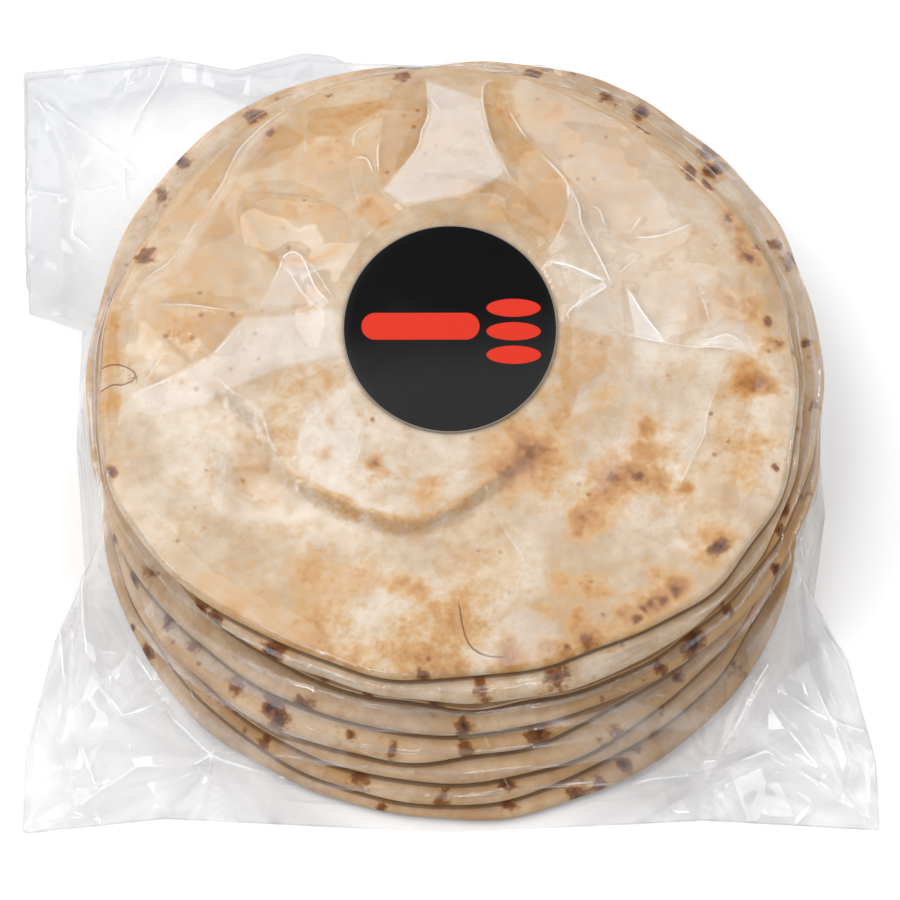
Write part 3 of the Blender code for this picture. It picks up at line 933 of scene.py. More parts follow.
def top_film():
    """Stretch the film over the top bread and its own creases, and return its grid."""
    axis = np.arange(-GRID_HALF, GRID_HALF + 0.1, GRID_STEP)
    x, y = np.meshgrid(axis + CENTRE[0], axis + CENTRE[1], indexing="ij")
    under, upper = bread_faces(TOP_INDEX, x, y)
    distance = edge_distance(TOP_INDEX, x, y)
    floor = upper - (upper - under) / 2 * (1.0 - rim_share(distance)) + FILM_GAP
    facets, _ = crumple(x, y, TOP_CRUMPLE_SIZE, TOP_CRUMPLE_SEED)
    back = smooth_step((y + 20.0) / 50.0)
    crumpled = np.maximum(0.0, facets) * (TOP_CRUMPLE_HEIGHT + TOP_CRUMPLE_BACK * back)
    obstacle = floor + crumpled
    for height, line in TOP_CREASES:
        away, along, _ = line_distance(x, y, smooth_line(line))
        share = CREASE_END + (1.0 - CREASE_END) * taper(along, 0.2, 0.2)
        ridge = floor + CREASE_HEIGHT * height * share - CREASE_SLOPE * away
        obstacle = np.maximum(obstacle, ridge)
    plane = label_plane(y)
    held = np.hypot(x - CENTRE[0], y - CENTRE[1]) < LABEL_RADIUS + HELD_MARGIN
    outside = distance < RIM_MARGIN
    film = obstacle.copy()
    for _ in range(GRID_ROUNDS):
        spread = np.zeros_like(film)
        spread[1:-1, 1:-1] = 0.25 * (
            film[2:, 1:-1] + film[:-2, 1:-1] + film[1:-1, 2:] + film[1:-1, :-2]
        )
        film = np.maximum(obstacle, spread - FILM_PULL * GRID_STEP ** 2 / 4)
        film = np.where(held, plane, film)
        film = np.where(outside, floor, film)
    return film, film - floor


def read_grid(grid, x, y):
    """Return a grid's value at each point, blended between its nodes."""
    place_x = (x - CENTRE[0] + GRID_HALF) / GRID_STEP
    place_y = (y - CENTRE[1] + GRID_HALF) / GRID_STEP
    cell_x = np.clip(np.floor(place_x).astype(int), 0, grid.shape[0] - 2)
    cell_y = np.clip(np.floor(place_y).astype(int), 0, grid.shape[1] - 2)
    share_x, share_y = place_x - cell_x, place_y - cell_y
    near = grid[cell_x, cell_y] * (1 - share_x) + grid[cell_x + 1, cell_y] * share_x
    far = grid[cell_x, cell_y + 1] * (1 - share_x) + grid[cell_x + 1, cell_y + 1] * share_x
    return near * (1 - share_y) + far * share_y


# Folds of the ears and the tail: mean height, and (size, seed, height) of two crumples.
LOW_RAISE = 0.8
LOW_LARGE = (17.0, 51, 0.8)
LOW_SMALL = (7.5, 52, 0.3)
LOW_SMALL_SHIFT = 5.0
WRINKLE_SEED = 17
WRINKLE_SPREAD = 0.6
CROSSING_SHARE = 0.35
WRINKLE_LENGTHS = (8.0, 36.0)
WRINKLE_HEIGHTS = (0.35, 1.3)
WRINKLE_WIDTHS = (1.6, 4.5)
WRINKLE_AMOUNT = 0.7
UPRIGHT_SHARE = 0.3


def segment_distance(points, start, end):
    """Return each point's distance to a line between two points, and its share along it."""
    edge = end - start
    share = np.clip(((points - start) @ edge) / (edge @ edge), 0.0, 1.0)
    return np.linalg.norm(points - start - share[..., None] * edge, axis=-1), share


def low_wrinkles(points, weight):
    """Return how far the ears and the tail are raised by their creases and wrinkles."""
    x, y = points[..., 0], points[..., 1]
    flat = points * np.array([1.0, 1.0, UPRIGHT_SHARE])
    raised = LOW_RAISE
    for shift, (size, seed, height) in ((0.0, LOW_LARGE), (LOW_SMALL_SHIFT, LOW_SMALL)):
        raised = raised + height * crumple(x + shift, y, size, seed)[0]
    for height, width, line in LOW_CREASES:
        away, _, _ = line_distance(x, y, line)
        raised = raised + np.maximum(0.0, height * (1.0 - away / width))
    random = np.random.default_rng(WRINKLE_SEED)
    choices = np.argwhere(weight > 0.5)
    for _ in range(LOW_WRINKLES):
        row, column = choices[random.integers(len(choices))]
        start = flat[row, column]
        outward = start[:2] - CENTRE
        turn = math.atan2(outward[1], outward[0]) + random.normal() * WRINKLE_SPREAD
        if random.random() < CROSSING_SHARE:
            turn += math.pi / 2
        length = random.uniform(*WRINKLE_LENGTHS)
        step = np.array([math.cos(turn), math.sin(turn), 0.0]) * length / 2
        near, share = segment_distance(flat, start - step, start + step)
        arch = np.sin(math.pi * np.clip(share, 0.0, 1.0)) ** 0.6
        height = random.uniform(*WRINKLE_HEIGHTS) * arch
        width = random.uniform(*WRINKLE_WIDTHS)
        raised = raised + WRINKLE_AMOUNT * np.maximum(0.0, height * (1.0 - near / width))
    return raised * weight


FAN_FINENESS = 9
FAN_LENGTH = 45.0
FAN_SEED = 300


def fan_streaks(x, y):
    """Return streaks, -1 to 1, that spread from the knots of the ears and the tail; the film's
    material paints them as shade and highlight.
    """
    nearest = np.full(np.shape(x), FAR)
    value = np.zeros(np.shape(x))
    for number, (knot_x, knot_y) in enumerate(FAN_KNOTS):
        reach = np.hypot(x - knot_x, y - knot_y)
        turn = np.arctan2(y - knot_y, x - knot_x)
        across_x, across_y = FAN_FINENESS * np.cos(turn), FAN_FINENESS * np.sin(turn)
        seed = FAN_SEED + 10 * number
        streak = cloud_noise(across_x, across_y, reach / FAN_LENGTH, 1.0, seed)
        value = np.where(reach < nearest, streak, value)
        nearest = np.minimum(nearest, reach)
    return value


def surface_normals(rings):
    along = np.roll(rings, -1, axis=1) - np.roll(rings, 1, axis=1)
    up = np.gradient(rings, axis=0)
    normal = np.cross(along, up)
    length = np.linalg.norm(normal, axis=-1, keepdims=True)
    return normal / np.maximum(length, 1e-9)


# Rings of the film's floor, its side and its top, and how the side hangs loose.
WALL = slice(FILM_FLOOR_RINGS, FILM_FLOOR_RINGS + FILM_SIDE_RINGS)
TOP = slice(FILM_FLOOR_RINGS + FILM_SIDE_RINGS, None)
LOOSE_FROM = 3.0
LOOSE_WIDTH = 8.0
FOLD_FADE_RINGS = 5.0
FOLD_LEAN = 0.35
FLOOR_HEIGHT = 0.1
LEAST_HEIGHT = 0.15
FLOOR_SHARES = (0.15, 0.995)
TOP_SHARES = (1.0, 0.02)
LOW_FROM = 0.3

# The film's haze: base, share of clouds and share of facets, and what clinging takes away.
HAZE_BASE = 0.01
HAZE_CLOUD = 0.04
HAZE_TONE = 0.07
HELD_SHARE = 0.85
PALE_AMOUNT = 1.5
WALL_GLOSS = 0.02
FLOOR_GLOSS = 0.3
TOP_GLOSS = 0.35
WALL_CREASE_STRENGTH = 0.35
LOW_CREASE_STRENGTH = 0.6
RISEN_SHARE = 0.8
TOP_ROUGH = 0.12
TAIL_SMOOTHING = 0.55


def film_rings(angles):
    """Return the film's rings, how loose its side hangs, and its lift over the top bread."""
    heights, reach, stack = side_profile(angles)
    side = resample_side(heights, reach)
    ray = np.stack([np.cos(angles), np.sin(angles)], axis=-1)
    walls = np.concatenate([CENTRE + ray[None] * side[..., :1], side[..., 1:]], axis=-1)
    held = [np.interp(side[:, c, 1], heights, stack[:, c]) for c in range(FILM_ANGLES)]
    foot = rim_reach(0, angles)[None] * (side[..., 1] < PITCH)
    away = side[..., 0] - np.maximum(np.stack(held, 1), foot)
    weight = smooth_step((away - LOOSE_FROM) / LOOSE_WIDTH)
    fade = smooth_step(np.arange(FILM_SIDE_RINGS) / FOLD_FADE_RINGS)[:, None]
    raised = low_wrinkles(walls, weight * fade)
    outward = surface_normals(walls) * np.array([FOLD_LEAN, FOLD_LEAN, 1.0])
    walls = walls + outward * raised[..., None]
    walls[..., 2] = np.maximum(walls[..., 2], LEAST_HEIGHT)
    rings = []
    for share in np.linspace(*FLOOR_SHARES, FILM_FLOOR_RINGS):
        plan = CENTRE + ray * (reach[0] * share)[:, None]
        rings.append(np.concatenate([plan, np.full((FILM_ANGLES, 1), FLOOR_HEIGHT)], axis=1))
    rings.extend(walls)
    grid, lift = top_film()
    for share in np.linspace(*TOP_SHARES, FILM_TOP_RINGS)[1:]:
        plan = CENTRE + ray * (side[-1, :, 0] * share)[:, None]
        height = read_grid(grid, plan[:, 0], plan[:, 1])
        rings.append(np.concatenate([plan, height[:, None]], axis=1))
    return np.array(rings), weight, lift


def film_lines(x, y, z, arc, weight):
    """Return the distance to the nearest crease, without and with its side."""
    on_side = [[(turn * ARC_PER_DEGREE, rise) for turn, rise in line] for line in WALL_CREASES]
    walls = nearest_line(arc, z[WALL], on_side)
    lows = nearest_line(x[WALL], y[WALL], [line for _, _, line in LOW_CREASES])
    tops = nearest_line(x[TOP], y[TOP], [smooth_line(line) for _, line in TOP_CREASES])
    fields = np.full((2, *x.shape), FARTHEST)
    for field, wall, low, top in zip(fields, walls, lows, tops):
        field[WALL] = np.where(weight > LOW_FROM, low, wall)
        field[TOP] = top
    return fields


def film_pale(x, y, z, arc):
    """Return how pale the zones, bands and veil of the film make each point."""
    pale = np.zeros(x.shape)
    # Painted reflection mixed with haze in the pale zones on top.
    for amount, corners in PALE_HAZE_AND_REFLECTION_ZONES:
        depth = polygon_depth(x[TOP], y[TOP], corners)
        pale[TOP] += PALE_AMOUNT * amount * smooth_step((depth + 0.4) / 2.0)
    for amount, corners in WALL_BANDS:
        flat = tuple((turn * ARC_PER_DEGREE, rise) for turn, rise in corners)
        depth = polygon_depth(arc, z[WALL], flat)
        pale[WALL] += amount * smooth_step((depth + 0.3) / 0.8)
    aside = np.abs(arc / ARC_PER_DEGREE - SIDE_VEIL_DIRECTION) - SIDE_VEIL_HALF_ANGLE
    veil = SIDE_VEIL * (1.0 - smooth_step(aside / 20.0)) * smooth_step(z[WALL] / 12.0)
    pale[WALL] += veil * (1.0 - smooth_step((z[WALL] - 40.0) / 10.0))
    return pale


def film_values(rings, angles, weight, lift):
    """Return what the film's material reads at each point."""
    x, y, z = rings[..., 0], rings[..., 1], rings[..., 2]
    arc = np.degrees(np.broadcast_to(angles, z[WALL].shape))
    arc = ((arc + 180.0) % 360.0 - 180.0) * ARC_PER_DEGREE
    near, signed = film_lines(x, y, z, arc, weight)
    beside = tail_share(angles)
    risen = RISEN_SHARE * smooth_step((z[WALL] - 5.0) / 8.0)
    cling, facet = np.full((2, *x.shape), -FARTHEST)
    low, tail, gloss, loose = np.zeros((4, *x.shape))
    low[WALL] = weight * (1.0 - beside)
    tail[WALL] = weight * beside * (1.0 - risen)
    gloss[:WALL.start] = FLOOR_GLOSS
    gloss[WALL] = WALL_GLOSS + (1.0 - WALL_GLOSS) * weight * (1.0 - beside * risen)
    gloss[TOP] = TOP_GLOSS + (1.0 - TOP_GLOSS) * smooth_step((y[TOP] + 30.0) / 50.0)
    loose[WALL] = weight
    loose[TOP] = 0.35 + 0.25 * smooth_step(read_grid(lift, x[TOP], y[TOP]) / 0.8)
    cling[TOP] = deepest(x[TOP], y[TOP], CLINGING)
    # Where the film's facets get a painted highlight.
    facet[TOP] = deepest(x[TOP], y[TOP], HIGHLIGHT_FACETS)
    cling = cling + 0.8 * lattice_noise(x, y, 0.0, 3.5, 90)
    held = HELD_SHARE * smooth_step((cling + 0.25) / 0.5)
    cloud = smooth_step((cloud_noise(x, y, z, 38.0, 91, 2) + 0.3) / 0.7)
    tone = 0.7 * crumple(x, y, 19.0, 61)[1] + 0.3 * crumple(x + 3.0, y, 9.0, 62)[1]
    haze = loose * (HAZE_BASE + HAZE_CLOUD * cloud + HAZE_TONE * tone) * (1.0 - held)
    haze = haze + film_pale(x, y, z, arc)
    strength = np.full(x.shape, WALL_CREASE_STRENGTH)
    strength[WALL] += LOW_CREASE_STRENGTH * weight
    strength[TOP] = line_strength(x[TOP], y[TOP], TOP_CREASES)
    strength = strength * smooth_step((lattice_noise(x, y, z, 8.0, 93) + 0.5) / 0.8)
    rough = TOP_ROUGH * loose
    rough[WALL] = weight * (1.0 - TAIL_SMOOTHING * beside)
    return {
        "film_part": np.stack([low, tail, rough], axis=-1),
        "film_look": np.stack([haze, gloss, strength], axis=-1),
        "film_line": np.stack([near, signed, fan_streaks(x, y)], axis=-1),
        "cling": cling,
        "facet": facet,
    }


def make_film():
    angles = np.linspace(0.0, TURN, FILM_ANGLES, endpoint=False)
    rings, weight, lift = film_rings(angles)
    values = film_values(rings, angles, weight, lift)
    piece = ring_mesh("bag_film", rings, values, True, True)
    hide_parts("bag")
    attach(piece, "root")
    return piece


LABEL_ANGLES = 180
LABEL_INSIDE = (2, 8, 14, 20, 25, 28, LABEL_RADIUS - 0.6)
LABEL_EDGE = ((0.15, 0.2), (0.0, 0.05), (0.0, -0.1), (0.2, -0.2))
LABEL_BELOW = (24, 12, 3)
LABEL_TOP_LIFT = 0.28
LABEL_UNDER_LIFT = -0.2
LABEL_STAND = 0.25
LABEL_WAVE = (0.12, 16.0, 5)


def make_label():
    """Make the round label as a thin disc on its tilted patch."""
    angles = np.linspace(0.0, TURN, LABEL_ANGLES, endpoint=False)
    profile = [(radius, LABEL_TOP_LIFT) for radius in LABEL_INSIDE]
    profile += [(LABEL_RADIUS - inset, lift) for inset, lift in LABEL_EDGE]
    profile += [(radius, LABEL_UNDER_LIFT) for radius in LABEL_BELOW]
    tilt = math.radians(LABEL_TILT)
    right = np.array([1.0, 0.0, 0.0])
    up = np.array([0.0, math.cos(tilt), math.sin(tilt)])
    normal = np.array([0.0, -math.sin(tilt), math.cos(tilt)])
    centre = np.array(LABEL_CENTRE) + normal * (LABEL_LIFT + LABEL_STAND)
    wave_height, wave_size, wave_seed = LABEL_WAVE
    rings = []
    for radius, lift in profile:
        flat_x, flat_y = radius * np.cos(angles), radius * np.sin(angles)
        wave = wave_height * lattice_noise(flat_x, flat_y, 0.0, wave_size, wave_seed)
        in_plane = flat_x[:, None] * right + flat_y[:, None] * up
        rings.append(centre + in_plane + (lift + wave)[:, None] * normal)
    rings = np.array(rings)
    offset = rings - centre
    values = {"label_x": offset @ right, "label_y": offset @ up}
    piece = ring_mesh("label_face", rings, values, True, True)
    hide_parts("label")
    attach(piece, "root")
    return piece


def new_material(name):
    material = bpy.data.materials.new(name)
    material.use_nodes = True
    material.node_tree.nodes.clear()
    return material, material.node_tree


def add_node(tree, kind, settings=None, **inputs):
    """Add a node; inputs are values or sockets, named with spaces as underscores."""
    node = tree.nodes.new(kind)
    for key, value in (settings or {}).items():
        setattr(node, key, value)
    for key, value in inputs.items():
        name = int(key[1:]) if key[1:].isdigit() else key.replace("_", " ")
        socket = node.inputs[name]
        if isinstance(value, bpy.types.NodeSocket):
            tree.links.new(value, socket)
        elif isinstance(value, tuple) and len(value) == 3 and socket.type == "RGBA":
            socket.default_value = (*value, 1.0)
        else:
            socket.default_value = value
    return node


def maths(tree, operation, first, second=0.0, clamp=False):
    node = add_node(tree, "ShaderNodeMath", {"operation": operation, "use_clamp": clamp},
                    i0=first, i1=second)
    return node.outputs[0]


def times(tree, first, second):
    return maths(tree, "MULTIPLY", first, second)


def plus(tree, first, second, clamp=False):
    return maths(tree, "ADD", first, second, clamp)


def minus(tree, first, second):
    return maths(tree, "SUBTRACT", first, second)


def ramp(tree, value, low, high):
    """Return 0 below low rising smoothly to 1 above high."""
    node = add_node(tree, "ShaderNodeMapRange", {"interpolation_type": "SMOOTHSTEP"},
                    Value=value, From_Min=low, From_Max=high, To_Min=0.0, To_Max=1.0)
    return node.outputs[0]


def mix_colour(tree, share, first, second, blend="MIX"):
    node = tree.nodes.new("ShaderNodeMix")
    node.data_type = "RGBA"
    node.blend_type = blend
    for number, value in ((0, share), (6, first), (7, second)):
        socket = node.inputs[number]
        if isinstance(value, bpy.types.NodeSocket):
            tree.links.new(value, socket)
        else:
            socket.default_value = (*value, 1.0) if isinstance(value, tuple) else value
    return node.outputs[2]


def noise_value(tree, place, scale, detail=4.0, roughness=0.55, distortion=0.0):
    node = add_node(tree, "ShaderNodeTexNoise", Vector=place, Scale=scale, Detail=detail,
                    Roughness=roughness, Distortion=distortion)
    return node.outputs["Fac"]


def attribute(tree, name):
    return add_node(tree, "ShaderNodeAttribute", {"attribute_name": name}).outputs["Fac"]


def packed(tree, name):
    """Return the three values that one attribute holds."""
    vector = add_node(tree, "ShaderNodeAttribute", {"attribute_name": name}).outputs["Vector"]
    return add_node(tree, "ShaderNodeSeparateXYZ", Vector=vector).outputs


def object_place(tree):
    return add_node(tree, "ShaderNodeTexCoord").outputs["Object"]


def end_with(tree, shader):
    """Send a shader to the material's output."""
    out = tree.nodes.new("ShaderNodeOutputMaterial")
    tree.links.new(shader.outputs[0], out.inputs[0])


CREAM_PALE = (0.575, 0.495, 0.405)
CREAM_WARM = (0.42, 0.315, 0.215)
# Painted shade multiplied over the back of the top bread.
BACK_PAINTED_SHADE = (0.86, 0.78, 0.67)
# Rim colours, darker than the top: partly the crust of the rims, partly painted shade.
RIM_CREAM = (0.57, 0.40, 0.25)
RIM_BROWN = (0.43, 0.265, 0.15)
RIM_GOLD_AND_SHADE = (0.40, 0.22, 0.07)
GOLD = (0.47, 0.285, 0.125)
TAN = (0.38, 0.185, 0.065)
BROWN = (0.20, 0.075, 0.025)
# Darker underside of the rims: partly browner crust, partly painted shade.
UNDERSIDE_TOAST_AND_SHADE = (0.24, 0.135, 0.07)
# Painted shade in the crevice under each bread's rim.
CREVICE_PAINTED_SHADE = (0.13, 0.062, 0.028)
CHAR = (0.055, 0.020, 0.008)
MOTTLE = (0.90, 0.84, 0.76)
CRACK = (0.13, 0.045, 0.018)
# Painted shadow laid on each lower bread beside the rim of the bread above.
NEAR_FOOT_PAINTED_SHADOW = (0.80, 0.66, 0.50)

# Colours that follow as a patch gets darker: from, to and colour.
TOAST_AND_SHADE_STEPS = ((0.8, 1.5, GOLD), (1.25, 1.75, TAN), (1.6, 2.1, BROWN))
CHAR_STEPS = ((1.0, 1.4, BROWN), (1.4, 1.8, CHAR))

# Noise of the breads: scale, detail and roughness.
BREAD_SHIFT = (0.37, 0.21, 0.13)
BROAD_NOISE = (26.0, 3.0, 0.68)
PATCH_NOISE = (60.0, 3.0, 0.65)
FINE_NOISE = (170.0, 3.0, 0.7)
GRAIN_NOISE = (480.0, 2.0, 0.65)
SPECK_SCALE = 130.0

# How strongly each colour lies over the bread.
RIM_TONE_AND_SHADE = 0.85
TOP_RIM_TONE_AND_SHADE = 0.3
RIGHT_GOLD_AND_SHADE = 0.85
SPECK_AMOUNT = 0.65
FRECKLE_AMOUNT = 0.5
CRACK_AMOUNT = 0.75
NEAR_FOOT_SHADOW_AMOUNT = 0.5
CREVICE_SHADE_AMOUNT = 0.6
UNDER_TOAST_AND_SHADE_AMOUNT = 0.8


def bread_material(index):
    material, tree = new_material(f"bread_{index + 1}")
    place = object_place(tree)
    shift = add_node(tree, "ShaderNodeMapping", Vector=place,
                     Location=tuple(step * index for step in BREAD_SHIFT)).outputs[0]
    broad, patch, fine, grain = [
        noise_value(tree, shift, *noise)
        for noise in (BROAD_NOISE, PATCH_NOISE, FINE_NOISE, GRAIN_NOISE)
    ]
    right, back, _ = add_node(tree, "ShaderNodeSeparateXYZ", Vector=place).outputs
    # Near their rims the breads take darker, more golden colours: partly the rim's own crust,
    # partly painted shade, strongest on the lower six breads.
    rim = mix_colour(tree, ramp(tree, patch, 0.42, 0.66), RIM_CREAM, RIM_BROWN)
    # Towards the right the rims turn darker and more golden: partly their own colour, partly
    # painted shade on the side away from the brighter light on the left.
    right_gold_and_shade_share = times(tree, ramp(tree, right, 0.015, 0.065), RIGHT_GOLD_AND_SHADE)
    rim = mix_colour(tree, right_gold_and_shade_share, rim, RIM_GOLD_AND_SHADE)
    rim_colour_and_shade = RIM_TONE_AND_SHADE if index < TOP_INDEX - 1 else TOP_RIM_TONE_AND_SHADE
    colour = mix_colour(tree, ramp(tree, broad, 0.36, 0.66), CREAM_PALE, CREAM_WARM)
    colour = mix_colour(tree, times(tree, attribute(tree, "rim"), rim_colour_and_shade), colour, rim)
    colour = mix_colour(tree, ramp(tree, fine, 0.35, 0.7), colour, MOTTLE, "MULTIPLY")
    if index == TOP_INDEX:
        # Painted shade: the back of the top bread, where it slopes away, is darkened.
        back = ramp(tree, back, -0.01, 0.03)
        colour = mix_colour(tree, back, colour, BACK_PAINTED_SHADE, "MULTIPLY")
    # The toast value also carries the painted shadow under the lip, the spots of painted shade and
    # the darker blister edge, which turn gold, tan and brown like the toasting.
    toast_and_shade = plus(tree, attribute(tree, "toast_and_shade"), times(tree, fine, 0.9))
    toast_and_shade = plus(tree, toast_and_shade, times(tree, patch, 0.8))
    toast_and_shade = plus(tree, toast_and_shade, times(tree, minus(tree, grain, 0.5), 0.5))
    char = plus(tree, attribute(tree, "char"), times(tree, grain, 0.9))
    char = plus(tree, char, times(tree, fine, 0.7))
    for amount, steps in ((toast_and_shade, TOAST_AND_SHADE_STEPS), (char, CHAR_STEPS)):
        for low, high, shade in steps:
            colour = mix_colour(tree, ramp(tree, amount, low, high), colour, shade)
    speck = add_node(tree, "ShaderNodeTexVoronoi", {"voronoi_dimensions": "2D"}, Vector=shift,
                     Scale=SPECK_SCALE, Randomness=1.0)
    dot = minus(tree, 1.0, ramp(tree, speck.outputs["Distance"], 0.06, 0.13))
    dot = times(tree, dot, ramp(tree, patch, 0.56, 0.64))
    freckle = times(tree, ramp(tree, grain, 0.66, 0.74), ramp(tree, patch, 0.5, 0.62))
    split = thin_line(tree, attribute(tree, "crack"), attribute(tree, "crack_side"), CRACK_WIDTH)
    above = attribute(tree, "above")
    # Painted shadow: each lower bread is darkened within a few millimetres of the rim of the bread
    # above.
    painted_rim_shadow = times(tree, ramp(tree, above, -4.0, 0.3), NEAR_FOOT_SHADOW_AMOUNT)
    # Painted shade: a thin dark line in the crevice right at the rim of the bread above.
    foot = times(tree, ramp(tree, above, -0.5, 0.0), CREVICE_SHADE_AMOUNT)
    # The lower half of each rim's rounding is darkened: partly the browner crust underneath,
    # partly painted shade.
    under = times(tree, attribute(tree, "under"), UNDER_TOAST_AND_SHADE_AMOUNT)
    colour = mix_colour(tree, times(tree, dot, SPECK_AMOUNT), colour, BROWN)
    colour = mix_colour(tree, times(tree, freckle, FRECKLE_AMOUNT), colour, TAN)
    colour = mix_colour(tree, times(tree, split, CRACK_AMOUNT), colour, CRACK)
    colour = mix_colour(tree, painted_rim_shadow, colour, NEAR_FOOT_PAINTED_SHADOW, "MULTIPLY")
    colour = mix_colour(tree, foot, colour, CREVICE_PAINTED_SHADE)
    colour = mix_colour(tree, under, colour, UNDERSIDE_TOAST_AND_SHADE)
    relief = add_node(tree, "ShaderNodeBump", Strength=0.7, Distance=0.0012, Height=fine)
    end_with(tree, add_node(
        tree, "ShaderNodeBsdfPrincipled", Base_Color=colour, Roughness=0.75,
        Specular_IOR_Level=0.12, Normal=relief.outputs[0],
    ))
    return material


LINE_REACH = 1.6


def thin_line(tree, near, side, width):
    """Return 1 on a thin line, from the distance to it with and without its side."""
    offset = maths(tree, "ABSOLUTE", side)
    on_line = minus(tree, 1.0, ramp(tree, offset, 0.5 * width, width))
    return times(tree, on_line, maths(tree, "LESS_THAN", near, LINE_REACH))


# Flat facets of the crumpled film: scale, stretch and direction, and how far each tilts.
FACET_CELLS = ((55.0, 0.45, 25.0), (120.0, 0.5, -55.0))
FACET_TILTS = (0.9, 0.6)


def facet_cells(tree, place, scale, stretch, turn):
    """Return a colour for each long flat facet of the crumpled film."""
    turned = add_node(tree, "ShaderNodeMapping", Vector=place,
                      Rotation=(0.0, 0.0, math.radians(turn)), Scale=(1.0, stretch, 1.0))
    cells = add_node(tree, "ShaderNodeTexVoronoi", {"voronoi_dimensions": "2D"},
                     Vector=turned.outputs[0], Scale=scale, Randomness=1.0)
    return cells.outputs["Color"]


def facet_normal(tree, cells, amount):
    """Tilt the surface's normal, one way in each flat facet of the crumpled film."""
    normal = add_node(tree, "ShaderNodeNewGeometry").outputs["Normal"]
    for colour, tilt in zip(cells, FACET_TILTS):
        side = add_node(tree, "ShaderNodeVectorMath", {"operation": "SUBTRACT"},
                        i0=colour, i1=(0.5, 0.5, 0.5)).outputs[0]
        side = add_node(tree, "ShaderNodeVectorMath", {"operation": "SCALE"}, i0=side,
                        Scale=times(tree, amount, tilt)).outputs[0]
        normal = add_node(tree, "ShaderNodeVectorMath", i0=normal, i1=side).outputs[0]
    unit = add_node(tree, "ShaderNodeVectorMath", {"operation": "NORMALIZE"}, i0=normal)
    return unit.outputs[0]


# Colours that light takes on through the film, and the film's own milky white.
CLEAR_TINT = (0.98, 0.98, 0.98)
CLING_TINT = (0.95, 0.915, 0.87)
# The second tint of the ears and of the tail is darker, mixed in by the fold pattern as painted
# shade.
EAR_TINTS = ((0.965, 0.962, 0.96), (0.80, 0.803, 0.81))
TAIL_TINTS = ((0.85, 0.853, 0.86), (0.775, 0.78, 0.79))
MILK = (0.92, 0.93, 0.94)
WHITE = (1.0, 1.0, 1.0)
BLACK = (0.0, 0.0, 0.0)

# Strengths of the film's gloss, of its folds painted as shade, of the painted shade and painted
# highlight of its creases, of the painted highlight of its facets and of its painted highlight
# streaks.
GRAZING_POWER = 5.0
GRAZING_GLOSS = 0.95
STRAIGHT_GLOSS = 0.035
LARGE_FOLDS = 0.2
SMALL_FOLDS = 0.15
FAN_FOLDS = 0.65
CREASE_PAINTED_SHADE = 0.12
CREASE_WIDTH = 0.34
CREASE_HIGHLIGHT = 0.34
FACET_HIGHLIGHT = 0.32
STREAK_HIGHLIGHT = 0.5


def film_material():
    material, tree = new_material("clear_film")
    place = object_place(tree)
    low, tail, rough = packed(tree, "film_part")
    haze, gloss_share, strength = packed(tree, "film_look")
    near, side, fan = packed(tree, "film_line")
    cells = [facet_cells(tree, place, *cell) for cell in FACET_CELLS]
    normal = facet_normal(tree, cells, rough)
    facing = add_node(tree, "ShaderNodeLayerWeight", Blend=0.5, Normal=normal).outputs["Facing"]
    mirror = times(tree, maths(tree, "POWER", facing, GRAZING_POWER), GRAZING_GLOSS)
    mirror = plus(tree, mirror, STRAIGHT_GLOSS)
    shades = [add_node(tree, "ShaderNodeSeparateColor", Color=cell).outputs[0] for cell in cells]
    # The fold pattern of facets and streaks; on the ears and the tail it mixes in the darker tint
    # as painted shade, on top it scales the painted highlight of the facets.
    folds = plus(tree, times(tree, shades[0], LARGE_FOLDS), times(tree, shades[1], SMALL_FOLDS))
    folds = plus(tree, folds, times(tree, ramp(tree, fan, -0.6, 0.6), FAN_FOLDS))
    clinging = ramp(tree, attribute(tree, "cling"), -0.25, 0.25)
    tint = mix_colour(tree, clinging, CLEAR_TINT, CLING_TINT)
    tint = mix_colour(tree, low, tint, mix_colour(tree, folds, *EAR_TINTS))
    tint = mix_colour(tree, tail, tint, mix_colour(tree, folds, *TAIL_TINTS))
    # Painted shade: the film is darkened along one side of each crease.
    shade = times(tree, ramp(tree, side, 0.2, 0.45), ramp(tree, side, 2.4, 0.6))
    shade = times(tree, shade, times(tree, strength, CREASE_PAINTED_SHADE))
    tint = mix_colour(tree, shade, tint, BLACK)
    clear = add_node(tree, "ShaderNodeBsdfTransparent", Color=tint)
    gloss = add_node(tree, "ShaderNodeBsdfGlossy", Color=WHITE, Roughness=0.07, Normal=normal)
    reflected = maths(tree, "MULTIPLY", mirror, gloss_share, True)
    shine = add_node(tree, "ShaderNodeMixShader", i0=reflected, i1=clear.outputs[0],
                     i2=gloss.outputs[0])
    # Painted highlight: a thin white line of milk along each crease.
    crease = times(tree, thin_line(tree, near, side, CREASE_WIDTH), strength)
    cover = plus(tree, haze, times(tree, crease, CREASE_HIGHLIGHT))
    # Painted highlight: the listed facets are whitened, more where the fold pattern is strong.
    lit = times(tree, ramp(tree, attribute(tree, "facet"), -0.2, 0.4), folds)
    cover = plus(tree, cover, times(tree, lit, FACET_HIGHLIGHT))
    # Painted highlight: bright streaks of milk across the ears.
    painted_streak_highlight = times(tree, low, ramp(tree, fan, -0.5, -0.75))
    cover = plus(tree, cover, times(tree, painted_streak_highlight, STREAK_HIGHLIGHT), True)
    milk = add_node(tree, "ShaderNodeBsdfDiffuse", Color=MILK)
    end_with(tree, add_node(
        tree, "ShaderNodeMixShader", i0=cover, i1=shine.outputs[0], i2=milk.outputs[0],
    ))
    return material


LABEL_BLACK = (0.001, 0.001, 0.001)
LABEL_SHEEN = (0.017, 0.017, 0.017)
LABEL_RED = (0.52, 0.028, 0.014)
LABEL_RING = (0.22, 0.18, 0.15)

